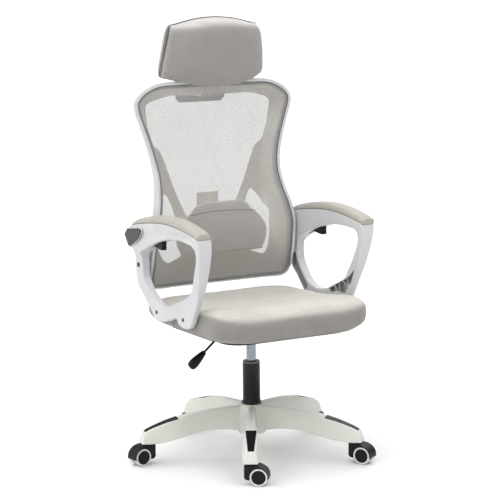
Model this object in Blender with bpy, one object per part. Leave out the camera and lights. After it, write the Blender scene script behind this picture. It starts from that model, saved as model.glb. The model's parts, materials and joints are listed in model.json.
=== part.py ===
"""High-back office chair with a mesh back, closed-loop arms and a five-legged caster base.

Metres, +Z up. The sitter faces -Y, so the sitter's right hand is at -X. Everything is laid out
around the gas lift's axis, and one empty places that axis so that the origin is the middle of
the chair's footprint on the floor.
"""
import math

import bmesh
import bpy
from mathutils import Matrix, Vector

# ---- driving dimensions ----------------------------------------------------------------
LIFT_AXIS = (0.009, -0.0245, 0.0)   # gas lift axis in the frame, on the floor
GAP = 0.0003                        # clearance between pieces that touch
WHEEL_SIDES = 16
ROUND = 20                          # sides of a turned piece
ROD_SIDES = 8                       # sides of the height lever's bent rod

LEG_COUNT = 5
LEG_START = math.radians(-30.9)     # bearing of the front leg, from -Y towards +X
STEM_RADIUS = 0.313                 # caster stems, from the lift axis
HUB_BASE_Z = 0.066
HUB_TOP_Z = 0.151

WHEEL_R = 0.025
CASTER_TRAIL = 0.023
CASTER_WIDTH = 0.042
FORK_TOP_Z = 0.0575
WELL_R = 0.0262
WELL_SIDES = 20
# Trail bearing of each caster, anticlockwise from +X, as the chair was last pushed.
CASTER_TRAILS = (-39.0, -60.0, 42.7, 76.7, 186.7)

TUBE_R = 0.025
TUBE_TOP_Z = 0.270
CYLINDER_R = 0.014
CYLINDER_TOP_Z = 0.355

SEAT_HALF_WIDTH = 0.2435
SEAT_FRONT_Y = -0.279
SEAT_BACK_Y = 0.213
BOARD_UNDER_Z = 0.3777
BOARD_TOP_Z = 0.3867
RAIL_X = (0.2180, 0.2352)
RAIL_Y = (-0.135, 0.095)
RAIL_TOP_Z = 0.4410
BOARD_INSET = 0.048                 # seat board inside the cushion's outline
BOARD_CORNER = 0.060
EAR_NEAR_X = 0.180                  # the board's ears run from here out to the rails

LEVER_PIVOT = (-0.045, 0.0, 0.366)
RECLINE_PIVOT = (0.165, 0.556)      # y, z of the bolts that carry the back
TRIGGER_PIVOT = (0.0973, 0.6305)    # y, z of the recline levers' pins
HEADREST_PIVOT = (0.2455, 1.130)    # y, z of the headrest's tilt pins
ARM_BOLTS = ((0.065, 0.434, 0.2680), (-0.076, 0.434, 0.2600))   # y, z, and |x| of the arm's face there
BOLT_HOLE_R = 0.0033
PIVOT_HOLE_R = 0.0043
BOLT_SIDES = 12

WHITE = ((0.80, 0.81, 0.82), 0.38, 0.0)
BASE_WHITE = ((0.76, 0.76, 0.73), 0.40, 0.0)
BLACK = ((0.018, 0.018, 0.020), 0.42, 0.0)
GLOSS_BLACK = ((0.060, 0.060, 0.068), 0.18, 0.0)
STEEL = ((0.55, 0.56, 0.58), 0.22, 1.0)
FABRIC = ((0.52, 0.51, 0.47), 0.95, 0.0)
PAD = ((0.50, 0.46, 0.41), 0.60, 0.0)
MESH = ((0.46, 0.45, 0.42), 0.90, 0.0)
BRASS = ((0.45, 0.40, 0.30), 0.35, 0.6)
LIGHT_RING = ((0.62, 0.64, 0.65), 0.30, 0.0)


# ---- helpers -----------------------------------------------------------------------------
def material(name, finish):
    colour, roughness, metallic = finish
    made = bpy.data.materials.new(name)
    made.use_nodes = True
    shader = made.node_tree.nodes["Principled BSDF"]
    shader.inputs["Base Color"].default_value = (*colour, 1.0)
    shader.inputs["Roughness"].default_value = roughness
    shader.inputs["Metallic"].default_value = metallic
    return made


def empty(name, location, parent=None, turn_z=0.0):
    made = bpy.data.objects.new(name, None)
    bpy.context.collection.objects.link(made)
    made.parent = parent
    made.location = location
    made.rotation_euler = (0.0, 0.0, turn_z)
    return made


def add(name, mesh, finish, parent, location=(0.0, 0.0, 0.0)):
    """Link a mesh as a named, finished, smooth-shaded object."""
    made = bpy.data.objects.new(name, mesh)
    bpy.context.collection.objects.link(made)
    made.parent = parent
    made.location = location
    mesh.materials.append(material(name, finish))
    mesh.shade_smooth()
    mesh.set_sharp_from_angle(angle=math.radians(35.0))
    return made


def add_cutter(name, mesh, parent, location=(0.0, 0.0, 0.0)):
    """Link a mesh that only shapes other pieces."""
    made = bpy.data.objects.new(name, mesh)
    bpy.context.collection.objects.link(made)
    made.parent = parent
    made.location = location
    made.hide_render = True
    made.display_type = "WIRE"
    return made


def shape(target, tool, operation="DIFFERENCE"):
    step = target.modifiers.new(operation.title(), "BOOLEAN")
    step.operation = operation
    step.solver = "EXACT"
    step.object = tool


def ring_mesh(name, rings, closed=False):
    """Skin a run of equal rings of points, capped at both ends unless the run is closed."""
    form = bmesh.new()
    rows = [[form.verts.new(point) for point in ring] for ring in rings]
    count = len(rows[0])
    spans = len(rows) if closed else len(rows) - 1
    for row in range(spans):
        here, there = rows[row], rows[(row + 1) % len(rows)]
        for k in range(count):
            nxt = (k + 1) % count
            form.faces.new((here[k], here[nxt], there[nxt], there[k]))
    if not closed:
        form.faces.new(rows[0])
        form.faces.new(rows[-1])
    bmesh.ops.triangulate(form, faces=form.faces)
    bmesh.ops.recalc_face_normals(form, faces=form.faces)
    mesh = bpy.data.meshes.new(name)
    form.to_mesh(mesh)
    form.free()
    return mesh


def turned_mesh(name, profile, axis="Z", sides=ROUND):
    """Turn a closed outline of (radius, height) points once round an axis."""
    form = bmesh.new()
    rows = []
    for side in range(sides):
        angle = 2.0 * math.pi * side / sides
        rows.append([form.verts.new((radius * math.cos(angle), radius * math.sin(angle), height))
                     for radius, height in profile])
    for side in range(sides):
        here, there = rows[side], rows[(side + 1) % sides]
        for k in range(len(profile)):
            nxt = (k + 1) % len(profile)
            if profile[k][0] == 0.0 and profile[nxt][0] == 0.0:
                continue
            form.faces.new((here[k], here[nxt], there[nxt], there[k]))
    bmesh.ops.remove_doubles(form, verts=form.verts, dist=1e-7)
    bmesh.ops.dissolve_degenerate(form, edges=form.edges, dist=1e-7)
    bmesh.ops.recalc_face_normals(form, faces=form.faces)
    if axis == "X":
        bmesh.ops.rotate(form, verts=form.verts, matrix=Matrix.Rotation(math.pi / 2.0, 3, "Y"))
    if axis == "Y":
        bmesh.ops.rotate(form, verts=form.verts, matrix=Matrix.Rotation(-math.pi / 2.0, 3, "X"))
    mesh = bpy.data.meshes.new(name)
    form.to_mesh(mesh)
    form.free()
    return mesh


def rod_mesh(name, radius, low, high, axis="Z", sides=12):
    return turned_mesh(name, [(0.0, low), (radius, low), (radius, high), (0.0, high)], axis, sides)


def prism_mesh(name, outline, axis, low, high):
    """Extrude an outline along an axis. Outlines are (y, z) for X, (x, z) for Y, (x, y) for Z."""
    places = {
        "X": lambda a, b, c: (c, a, b),
        "Y": lambda a, b, c: (a, c, b),
        "Z": lambda a, b, c: (a, b, c),
    }
    place = places[axis]
    return ring_mesh(name, [[place(a, b, level) for a, b in outline] for level in (low, high)])


def box_mesh(name, low, high):
    outline = [(low[0], low[1]), (high[0], low[1]), (high[0], high[1]), (low[0], high[1])]
    return prism_mesh(name, outline, "Z", low[2], high[2])


def joined_mesh(name, meshes):
    """One mesh made of several that don't touch each other."""
    form = bmesh.new()
    for part in meshes:
        form.from_mesh(part)
    mesh = bpy.data.meshes.new(name)
    form.to_mesh(mesh)
    form.free()
    return mesh


def moved(mesh, matrix):
    copy = mesh.copy()
    copy.transform(matrix)
    return copy


def mirrored(mesh):
    """The same mesh on the other side of the chair's middle plane, faces still out."""
    copy = mesh.copy()
    copy.transform(Matrix.Scale(-1.0, 4, (1.0, 0.0, 0.0)))
    copy.flip_normals()
    return copy


def smooth_run(points, steps, closed=False):
    """Points along a Catmull-Rom curve through the given ones, which may have any number of values."""
    count = len(points)
    spans = count if closed else count - 1
    run = []
    for span in range(spans):
        if closed:
            a, b, c, d = (points[(span + k) % count] for k in (-1, 0, 1, 2))
        else:
            a, b, c, d = (points[min(max(span + k, 0), count - 1)] for k in (-1, 0, 1, 2))
        for step in range(steps):
            t = step / steps
            run.append(tuple(
                0.5 * (2 * q + (r - p) * t + (2 * p - 5 * q + 4 * r - s) * t * t
                       + (3 * q - p - 3 * r + s) * t ** 3)
                for p, q, r, s in zip(a, b, c, d)))
    if not closed:
        run.append(tuple(points[-1]))
    return run


def between(table, at):
    """Straight-line interpolation in rows of (position, value, value, ...)."""
    if at <= table[0][0]:
        return table[0][1:]
    for low, high in zip(table, table[1:]):
        if at <= high[0]:
            share = (at - low[0]) / (high[0] - low[0])
            return tuple(p + (q - p) * share for p, q in zip(low[1:], high[1:]))
    return table[-1][1:]


# ---- base --------------------------------------------------------------------------------
# Distance from the lift axis: top height, underside height, half width above, half width below.
LEG_SHAPE = (
    (0.031, 0.1470, 0.0730, 0.0095, 0.0170),
    (0.070, 0.1462, 0.0800, 0.0085, 0.0165),
    (0.110, 0.1445, 0.0835, 0.0080, 0.0165),
    (0.155, 0.1405, 0.0820, 0.0090, 0.0180),
    (0.195, 0.1340, 0.0755, 0.0130, 0.0225),
    (0.222, 0.1268, 0.0700, 0.0178, 0.0262),
    (0.255, 0.1185, 0.0640, 0.0185, 0.0275),
    (0.285, 0.1090, 0.0605, 0.0170, 0.0265),
    (0.309, 0.1000, 0.0595, 0.0150, 0.0235),
    (0.322, 0.0925, 0.0600, 0.0130, 0.0210),
)
LEG_TIP = (0.3215, 0.3305)          # reach of the tip's top and bottom edges
INSERT_SPAN = (0.2225, 0.3185)
INSERT_HALF_WIDTH = (0.0155, 0.0085)
LEG_EDGE = 0.004
LEG_KNEE = (0.55, 0.62)             # where the flank bends: share of the top's width, share of the height
LEG_WALL = 0.0035
# Reach from the lift axis: thickness left above the hollow under the leg.
CHANNEL_ROOF = ((0.052, 0.007), (0.110, 0.007), (0.155, 0.007), (0.195, 0.008), (0.222, 0.011),
                (0.255, 0.011), (0.288, 0.011))
INSERT_SINK = 0.0022
INSERT_PROUD = 0.0008
SOCKET_R = 0.0058
SOCKET_Z = (0.040, 0.0885)
CUT_OVER = 0.020                    # how far a cutter runs past the surface it cuts
# Radius and height round the hub and its bore.
HUB_PROFILE = ((0.0200, HUB_BASE_Z), (0.0360, HUB_BASE_Z), (0.0362, 0.110), (0.0345, 0.144),
               (0.0315, HUB_TOP_Z), (0.0200, HUB_TOP_Z))
BORE_PROFILE = ((0.0, 0.05), (0.0240, 0.05), (0.0252, 0.16), (0.0, 0.16))


def leg_section(reach, top, under, half_top, half_under, lean=0.0):
    """One rounded cross-section of a leg, ten points in the leg's own X-out frame."""
    half = [(half_under - LEG_EDGE, under), (half_under, under + LEG_EDGE),
            (half_under + LEG_KNEE[0] * (half_top - half_under), under + LEG_KNEE[1] * (top - under)),
            (half_top, top - LEG_EDGE), (half_top - LEG_EDGE, top)]
    ring = half + [(-side, height) for side, height in reversed(half)]
    return [(reach + lean * (top - height) / (top - under), side, height) for side, height in ring]


def leg_mesh(name):
    rings = [leg_section(*row) for row in LEG_SHAPE[:-1]]
    rings.append(leg_section(*LEG_SHAPE[-1], lean=LEG_TIP[1] - LEG_TIP[0]))
    return ring_mesh(name, rings)


def channel_mesh(name):
    """The hollow under a leg, between the hub and the caster socket."""
    rings = []
    for reach, roof in CHANNEL_ROOF:
        top, under, half_top, half_under = between(LEG_SHAPE, reach)
        wide, narrow = half_under - LEG_WALL, half_top - LEG_WALL
        rings.append([(reach, -wide, under - CUT_OVER), (reach, wide, under - CUT_OVER),
                      (reach, narrow, top - roof), (reach, -narrow, top - roof)])
    return ring_mesh(name, rings)


def insert_mesh(name, spread, low, high):
    """The dark strip set in the top of a leg; its pocket is the same, spread a little."""
    rings = []
    stations = 5
    for k in range(stations):
        share = k / (stations - 1)
        reach = INSERT_SPAN[0] - spread + (INSERT_SPAN[1] - INSERT_SPAN[0] + 2 * spread) * share
        half = INSERT_HALF_WIDTH[0] + (INSERT_HALF_WIDTH[1] - INSERT_HALF_WIDTH[0]) * share + spread
        top = between(LEG_SHAPE, reach)[0]
        rings.append([(reach, -half, top + low), (reach, half, top + low),
                      (reach, half, top + high), (reach, -half, top + high)])
    return ring_mesh(name, rings)


def leg_turn(index):
    """Rotation that points a leg's X-out frame along its bearing."""
    return Matrix.Rotation(LEG_START - math.pi / 2.0 + index * 2.0 * math.pi / LEG_COUNT, 4, "Z")


def build_base(chair):
    base = add("base_star", turned_mesh("base_star", HUB_PROFILE), BASE_WHITE, chair)
    legs, hollows = [], []
    for index in range(LEG_COUNT):
        turn = leg_turn(index)
        legs.append(moved(leg_mesh("leg"), turn))
        hollows.append(moved(channel_mesh("channel"), turn))
        hollows.append(moved(insert_mesh("pocket", GAP, -INSERT_SINK - GAP, CUT_OVER), turn))
        socket = moved(rod_mesh("socket", SOCKET_R, *SOCKET_Z), Matrix.Translation((STEM_RADIUS, 0, 0)))
        hollows.append(moved(socket, turn))
        strip = moved(insert_mesh("leg_insert", 0.0, -INSERT_SINK, INSERT_PROUD), turn)
        add(f"leg_insert_{index + 1}", strip, BLACK, chair)
    hollows.append(turned_mesh("bore", BORE_PROFILE))
    shape(base, add_cutter("legs", joined_mesh("legs", legs), chair), "UNION")
    shape(base, add_cutter("base_hollows", joined_mesh("base_hollows", hollows), chair))


# ---- casters -----------------------------------------------------------------------------
HOOD_R = 0.0275
HOOD_FLAT_X = 0.012                 # where the hood's flat top ends and its round begins
HOOD_FRONT_X = -0.0165
HOOD_STEPS = 8
# Side view under the hood, from its trailing lip to its front, X along the trail from the stem.
HOOD_UNDERSIDE = ((0.0505, 0.025), (0.0500, 0.020), (0.0465, 0.0195), (0.0320, 0.0155), (0.0140, 0.0155),
                  (-0.006, 0.0175), (-0.012, 0.0185))
WEB_HALF = 0.0047                   # half the middle web between the wheels
STEM_R = 0.0054
STEM_Z = (0.050, 0.087)
AXLE_R = 0.0030
AXLE_BORE_R = 0.0033
AXLE_END = 0.0030                   # axle end inside the wheel's face
WHEEL_BORE_R = 0.0034
WHEEL_INNER = 0.0052
WHEEL_EDGE = 0.0015
WHEEL_FACE_R = 0.0195
WHEEL_DISH = 0.0018


def hood_outline():
    """Side view of a caster's hood and middle web, X along the trail from the stem."""
    reach = CASTER_TRAIL + HOOD_R
    arc = []
    for step in range(1, HOOD_STEPS):
        angle = math.radians(90.0 - 90.0 * step / HOOD_STEPS)
        arc.append((HOOD_FLAT_X + (reach - HOOD_FLAT_X) * math.cos(angle),
                    WHEEL_R + (FORK_TOP_Z - WHEEL_R) * math.sin(angle)))
    front = [(HOOD_FRONT_X, 0.024), (HOOD_FRONT_X, FORK_TOP_Z), (HOOD_FLAT_X, FORK_TOP_Z)]
    return front + arc + list(HOOD_UNDERSIDE)


def wheel_mesh(name, side):
    """A wheel with a recessed face, lying on the Y axis outwards from the middle web."""
    inner, outer = WHEEL_INNER, CASTER_WIDTH / 2.0 - 0.5 * GAP
    profile = [(WHEEL_BORE_R, inner), (WHEEL_R - WHEEL_EDGE, inner), (WHEEL_R, inner + WHEEL_EDGE),
               (WHEEL_R, outer - WHEEL_EDGE), (WHEEL_R - WHEEL_EDGE, outer), (WHEEL_FACE_R, outer),
               (WHEEL_BORE_R, outer - WHEEL_DISH)]
    mesh = turned_mesh(name, profile, "Y", WHEEL_SIDES)
    return mesh if side > 0 else moved(mesh, Matrix.Rotation(math.pi, 4, "Z"))


def build_casters(chair):
    for index in range(LEG_COUNT):
        number = index + 1
        stem_at = leg_turn(index) @ Vector((STEM_RADIUS, 0.0, 0.0))
        swivel = empty(f"caster_swivel_{number}", stem_at, chair, math.radians(CASTER_TRAILS[index]))
        half = CASTER_WIDTH / 2.0
        fork = add(f"caster_fork_{number}", prism_mesh("fork", hood_outline(), "Y", -half, half),
                   BLACK, swivel)
        stem = add_cutter(f"stem_{number}", rod_mesh("stem", STEM_R, *STEM_Z), swivel)
        wells = []
        for side in (-1.0, 1.0):
            low, high = sorted((side * WEB_HALF, side * (half + CUT_OVER)))
            wells.append(moved(rod_mesh("well", WELL_R, low, high, "Y", WELL_SIDES),
                               Matrix.Translation((CASTER_TRAIL, 0.0, WHEEL_R))))
        shape(fork, stem, "UNION")
        shape(fork, add_cutter(f"wells_{number}", joined_mesh("wells", wells), swivel))
        axle_at = (CASTER_TRAIL, 0.0, WHEEL_R)
        bore = moved(rod_mesh("axle_bore", AXLE_BORE_R, -2.0 * WEB_HALF, 2.0 * WEB_HALF, "Y"),
                     Matrix.Translation(axle_at))
        shape(fork, add_cutter(f"axle_bore_{number}", bore, swivel))
        add(f"caster_axle_{number}", rod_mesh("axle", AXLE_R, AXLE_END - half, half - AXLE_END, "Y"),
            STEEL, swivel, axle_at)
        for letter, side in (("a", -1.0), ("b", 1.0)):
            add(f"caster_wheel_{number}{letter}", wheel_mesh("wheel", side), LIGHT_RING, swivel, axle_at)


# ---- gas lift ----------------------------------------------------------------------------
# Radius and height round each turned piece of the lift.
TUBE_PROFILE = ((0.0056, 0.066), (0.0237, 0.066), (0.0247, HUB_TOP_Z + GAP), (0.0282, HUB_TOP_Z + GAP),
                (0.0282, 0.1585), (TUBE_R, 0.1600), (TUBE_R, TUBE_TOP_Z), (0.0216, TUBE_TOP_Z),
                (0.0216, 0.074), (0.0056, 0.074))
BUSH_PROFILE = ((CYLINDER_R + GAP, 0.240), (0.0213, 0.240), (0.0213, TUBE_TOP_Z + GAP),
                (0.0247, TUBE_TOP_Z + GAP), (0.0240, 0.2765), (CYLINDER_R + GAP, 0.2765))
CLIP_PROFILE = ((0.0053, 0.0610), (0.0110, 0.0610), (0.0110, 0.0655), (0.0053, 0.0655))
CYLINDER_PROFILE = ((0.0055, 0.130), (CYLINDER_R, 0.130), (CYLINDER_R, CYLINDER_TOP_Z - 0.002),
                    (CYLINDER_R - 0.002, CYLINDER_TOP_Z), (0.0043, CYLINDER_TOP_Z), (0.0043, 0.347),
                    (0.0, 0.347), (0.0, 0.333), (0.0055, 0.333))
LIFT_ROD = (0.0050, 0.0580, 0.245)  # radius, foot and top
PIN_AT_Z = 0.3547
PIN = (0.0040, -0.0010, 0.0068)     # radius, foot and top from PIN_AT_Z


def build_lift(chair, rod_turn, seat):
    add("lift_column", turned_mesh("lift_column", TUBE_PROFILE), BLACK, chair)
    add("lift_guide_bush", turned_mesh("lift_guide_bush", BUSH_PROFILE), LIGHT_RING, chair)
    add("lift_rod", rod_mesh("lift_rod", *LIFT_ROD), STEEL, rod_turn)
    add("lift_rod_clip", turned_mesh("lift_rod_clip", CLIP_PROFILE), BLACK, rod_turn)
    add("lift_cylinder", turned_mesh("lift_cylinder", CYLINDER_PROFILE), STEEL, seat)
    add("lift_release_pin", rod_mesh("lift_release_pin", *PIN), BRASS, seat, (0.0, 0.0, PIN_AT_Z))


# ---- seat mechanism and seat -------------------------------------------------------------
# Low and high corners of the pressed pan, its flange, its hollow and the slot for the lever's rod.
PAN_BOX = ((-0.060, -0.065, 0.3425), (0.060, 0.065, 0.3760))
FLANGE_BOX = ((-0.105, -0.085, 0.3745), (0.105, 0.085, BOARD_UNDER_Z - GAP))
PAN_HOLLOW = ((-0.057, -0.062, 0.3455), (0.057, 0.062, 0.390))
ROD_SLOT = ((-0.070, -0.0065, 0.3560), (-0.055, 0.0065, 0.3735))
PAN_SOCKET = (0.0190, 0.3360, 0.3530)          # radius, foot and top
PAN_BORE = (CYLINDER_R + GAP, 0.330, 0.360)
# Height of each ring of the cushion: inset at the sides and back, corner radius, inset at the front.
CUSHION_RINGS = (
    (0.3870, 0.0180, 0.100, 0.0180),
    (0.3925, 0.0100, 0.085, 0.0090),
    (0.4050, 0.0030, 0.065, 0.0020),
    (0.4200, 0.0000, 0.055, 0.0000),
    (0.4340, 0.0022, 0.055, 0.0060),
    (0.4430, 0.0070, 0.055, 0.0220),
    (0.4495, 0.0200, 0.055, 0.0500),
    (0.4520, 0.0700, 0.055, 0.1000),
)
SEAT_CORNER_STEPS = 6


def seat_outline(inset, corner, front_inset=None):
    """Outline of the seat in plan, drawn in by the given distances, with round corners."""
    reach = SEAT_HALF_WIDTH - inset - corner
    back = SEAT_BACK_Y - inset - corner
    front = SEAT_FRONT_Y + (inset if front_inset is None else front_inset) + corner
    points = []
    corners = ((reach, front, -90.0), (reach, back, 0.0), (-reach, back, 90.0), (-reach, front, 180.0))
    for x, y, start in corners:
        for step in range(SEAT_CORNER_STEPS + 1):
            angle = math.radians(start + 90.0 * step / SEAT_CORNER_STEPS)
            points.append((x + corner * math.cos(angle), y + corner * math.sin(angle)))
    return points


def build_mechanism(seat):
    pan = add("seat_mechanism", box_mesh("seat_mechanism", *PAN_BOX), BLACK, seat)
    shape(pan, add_cutter("mechanism_flange", box_mesh("flange", *FLANGE_BOX), seat), "UNION")
    shape(pan, add_cutter("mechanism_hollow", box_mesh("hollow", *PAN_HOLLOW), seat))
    shape(pan, add_cutter("mechanism_socket", rod_mesh("socket", *PAN_SOCKET), seat), "UNION")
    openings = joined_mesh("openings", [rod_mesh("socket_bore", *PAN_BORE, sides=ROUND),
                                        box_mesh("rod_slot", *ROD_SLOT)])
    shape(pan, add_cutter("mechanism_openings", openings, seat))


# Bends of the lever's rod: x and z from its pivot.
LEVER_BENDS = ((0.0490, 0.0), (-0.0450, -0.0030), (-0.0600, -0.0090), (-0.1100, -0.0500), (-0.1270, -0.0640))
LEVER_ROD_R = 0.0034
GRIP_START = Vector((-0.1080, 0.0, -0.0484))
GRIP_RUN = Vector((-0.77, 0.0, -0.638))
GRIP_SIDES = 16
# Reach along the grip: half width and half thickness.
GRIP_SHAPE = ((0.000, 0.0062, 0.0072), (0.010, 0.0076, 0.0090), (0.028, 0.0100, 0.0120),
              (0.045, 0.0110, 0.0138), (0.056, 0.0098, 0.0124), (0.060, 0.0060, 0.0080))
GRIP_BORE = (-0.006, 0.0290, 0.0040)           # start, end and radius


def build_height_lever(seat):
    pivot = empty("height_lever_pivot", LEVER_PIVOT, seat)
    points = smooth_run(LEVER_BENDS, 3)
    rings = []
    for k, (across, height) in enumerate(points):
        before, after = points[max(k - 1, 0)], points[min(k + 1, len(points) - 1)]
        run = Vector((after[0] - before[0], 0.0, after[1] - before[1])).normalized()
        side = Vector((0.0, 1.0, 0.0))
        up = run.cross(side)
        ring = []
        for step in range(ROD_SIDES):
            angle = 2.0 * math.pi * step / ROD_SIDES
            ring.append(Vector((across, 0.0, height))
                        + LEVER_ROD_R * (math.cos(angle) * side + math.sin(angle) * up))
        rings.append(ring)
    add("height_lever_rod", ring_mesh("height_lever_rod", rings), BLACK, pivot)
    grip = add("height_lever_grip", ring_mesh("height_lever_grip", [grip_ring(*row) for row in GRIP_SHAPE]),
               BLACK, pivot)
    start, end, radius = GRIP_BORE
    sleeve = ring_mesh("grip_bore", [grip_ring(reach, radius, radius) for reach in (start, end)])
    shape(grip, add_cutter("grip_bore", sleeve, pivot))


def grip_ring(reach, half_width, half_thick):
    """An oval ring round the grip's axis."""
    along = GRIP_RUN.normalized()
    flat = Vector((0.0, 1.0, 0.0))
    face = along.cross(flat)
    middle = GRIP_START + reach * along
    angles = [2.0 * math.pi * step / GRIP_SIDES for step in range(GRIP_SIDES)]
    return [middle + half_width * math.cos(angle) * flat + half_thick * math.sin(angle) * face
            for angle in angles]


RAIL_FOOT_Z = 0.380
BOLT_NEAR_X = 0.2240                # where a bolt's hole starts inside the rail
TUNNEL_NEAR_X = 0.2330
TUNNEL_R = 0.0040


def across_x(name, radius, near, far, side, y, z):
    """A round cutter along X on one side of the seat."""
    low, high = sorted((side * near, side * far))
    return moved(rod_mesh(name, radius, low, high, "X", BOLT_SIDES), Matrix.Translation((0.0, y, z)))


def build_seat(seat):
    board = add("seat_board", prism_mesh("seat_board", seat_outline(BOARD_INSET, BOARD_CORNER), "Z",
                                         BOARD_UNDER_Z, BOARD_TOP_Z), BLACK, seat)
    ears, rails, rail_slots, bolt_holes, bolt_tunnels = [], [], [], [], []
    for side in (-1.0, 1.0):
        low, high = sorted((side * EAR_NEAR_X, side * RAIL_X[1]))
        ears.append(box_mesh("ear", (low, RAIL_Y[0], BOARD_UNDER_Z), (high, RAIL_Y[1], BOARD_TOP_Z)))
        low, high = sorted((side * RAIL_X[0], side * RAIL_X[1]))
        rails.append(box_mesh("rail", (low, RAIL_Y[0], RAIL_FOOT_Z), (high, RAIL_Y[1], RAIL_TOP_Z)))
        rail_slots.append(box_mesh("rail_slot", (low - GAP, RAIL_Y[0] - GAP, RAIL_FOOT_Z - CUT_OVER),
                                   (high + GAP, RAIL_Y[1] + GAP, RAIL_TOP_Z + GAP)))
        for y, z, face in ARM_BOLTS:
            bolt_holes.append(across_x("bolt_hole", BOLT_HOLE_R, BOLT_NEAR_X, face, side, y, z))
            bolt_tunnels.append(across_x("bolt_tunnel", TUNNEL_R, TUNNEL_NEAR_X, face, side, y, z))
    shape(board, add_cutter("ears", joined_mesh("ears", ears), seat), "UNION")
    shape(board, add_cutter("rails", joined_mesh("rails", rails), seat), "UNION")
    shape(board, add_cutter("rail_holes", joined_mesh("rail_holes", bolt_holes), seat))
    rings = []
    for height, inset, corner, front_inset in CUSHION_RINGS:
        rings.append([(x, y, height) for x, y in seat_outline(inset, corner, front_inset)])
    cushion = add("seat_cushion", ring_mesh("seat_cushion", rings), FABRIC, seat)
    shape(cushion, add_cutter("rail_slots", joined_mesh("rail_slots", rail_slots), seat))
    shape(cushion, add_cutter("bolt_tunnels", joined_mesh("bolt_tunnels", bolt_tunnels), seat))


# ---- arms --------------------------------------------------------------------------------
# Stations round the loop, front top corner first: outer y, z, inner y, z, inner |x|, outer |x|.
ARM_LOOP = (
    (-0.203, 0.6725, -0.178, 0.6505, 0.2400, 0.2845),
    (-0.165, 0.6820, -0.158, 0.6560, 0.2410, 0.2855),
    (-0.100, 0.6910, -0.100, 0.6590, 0.2410, 0.2855),
    (-0.030, 0.6945, -0.035, 0.6535, 0.2410, 0.2855),
    (0.040, 0.6905, 0.020, 0.6400, 0.2410, 0.2855),
    (0.100, 0.6830, 0.062, 0.6255, 0.2410, 0.2855),
    (0.150, 0.6750, 0.098, 0.6110, 0.2410, 0.2855),
    (0.195, 0.6620, 0.122, 0.6020, 0.2425, 0.2855),
    (0.222, 0.6390, 0.132, 0.5970, 0.2440, 0.2850),
    (0.196, 0.6060, 0.138, 0.5900, 0.2460, 0.2790),
    (0.188, 0.5850, 0.141, 0.5800, 0.2470, 0.2720),
    (0.187, 0.5480, 0.142, 0.5550, 0.2470, 0.2710),
    (0.176, 0.5030, 0.137, 0.5270, 0.2470, 0.2710),
    (0.151, 0.4810, 0.121, 0.5040, 0.2470, 0.2710),
    (0.127, 0.4580, 0.100, 0.4840, 0.2460, 0.2695),
    (0.101, 0.4345, 0.078, 0.4685, 0.2450, 0.2680),
    (0.071, 0.4095, 0.053, 0.4595, 0.2450, 0.2680),
    (0.030, 0.4115, 0.022, 0.4570, 0.2450, 0.2670),
    (-0.010, 0.4230, -0.017, 0.4640, 0.2450, 0.2650),
    (-0.038, 0.4325, -0.042, 0.4680, 0.2450, 0.2625),
    (-0.050, 0.4155, -0.063, 0.4720, 0.2450, 0.2600),
    (-0.086, 0.4100, -0.089, 0.4810, 0.2450, 0.2600),
    (-0.118, 0.4210, -0.108, 0.4950, 0.2450, 0.2600),
    (-0.140, 0.4560, -0.120, 0.5130, 0.2445, 0.2602),
    (-0.165, 0.5030, -0.131, 0.5290, 0.2420, 0.2615),
    (-0.190, 0.5620, -0.157, 0.5640, 0.2405, 0.2700),
    (-0.207, 0.6200, -0.183, 0.6120, 0.2400, 0.2765),
    (-0.210, 0.6500, -0.187, 0.6360, 0.2400, 0.2805),
)
ARM_STEPS = 2
ARM_CHAMFER = 0.004
PAD_X = 0.2634
# Station along the pad, front first: half width and thickness of the pad over the arm's top.
PAD_SHAPE = (
    (0, 0.0235, 0.0165), (2, 0.0245, 0.0200), (4, 0.0245, 0.0235), (6, 0.0245, 0.0240),
    (8, 0.0245, 0.0230), (10, 0.0240, 0.0205), (12, 0.0225, 0.0165), (13, 0.0200, 0.0120),
    (14, 0.0150, 0.0060),
)
CAP_OUTLINE = ((0.199, 0.6565), (0.127, 0.6660), (0.114, 0.6620), (0.118, 0.6500), (0.137, 0.6325),
               (0.182, 0.6085), (0.194, 0.6095), (0.217, 0.6400))
TRIGGER_OUTLINE = ((0.0185, 0.6395), (0.0185, 0.6165), (0.0215, 0.6155), (0.034, 0.6155), (0.055, 0.6185),
                   (0.075, 0.6205), (0.104, 0.6225), (0.1065, 0.6320), (0.1030, 0.6370), (0.092, 0.6380),
                   (0.060, 0.6370), (0.030, 0.6410))
TRIGGER_SLOT = ((0.0165, 0.595), (0.0165, 0.6625), (0.060, 0.6625), (0.100, 0.6440), (0.1120, 0.6440),
                (0.1120, 0.595))
TRIGGER_X = (0.2565, 0.2705)
TRIGGER_CLEAR = 0.0005
TRIGGER_PIN_R = 0.0025
TRIGGER_PIN_X = (0.2515, 0.2755)
PIN_HOLE_R = 0.0028
PIN_HOLE_X = (0.2500, 0.2770)
HOLE_X = (0.235, 0.300)             # past both faces of the arm
# Side to side and height shares of the pad's section.
PAD_SECTION = ((-0.92, 0.0), (-1.0, 0.25), (-0.93, 0.65), (-0.55, 0.95), (0.0, 1.0), (0.55, 0.95),
               (0.93, 0.65), (1.0, 0.25), (0.92, 0.0))
PAD_NOSE = 0.0070                   # how far the pad's front end stands out
PAD_NOSE_SCALE = 0.92
CAP_X = (0.2858, 0.2892)
BOLT_TIP_X = 0.2250
BOLT_R = 0.0030
BOLT_HEAD_R = (0.0048, 0.0042)      # under the head and on top of it
BOLT_HEAD_THICK = 0.0019
# Radius and |x| along the bolt that carries the back.
PIVOT_BOLT = ((0.0, 0.2280), (0.0040, 0.2280), (0.0040, 0.2713), (0.0068, 0.2713), (0.0060, 0.2742),
              (0.0, 0.2742))


def arm_stations():
    return smooth_run(ARM_LOOP, ARM_STEPS, closed=True)


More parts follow.
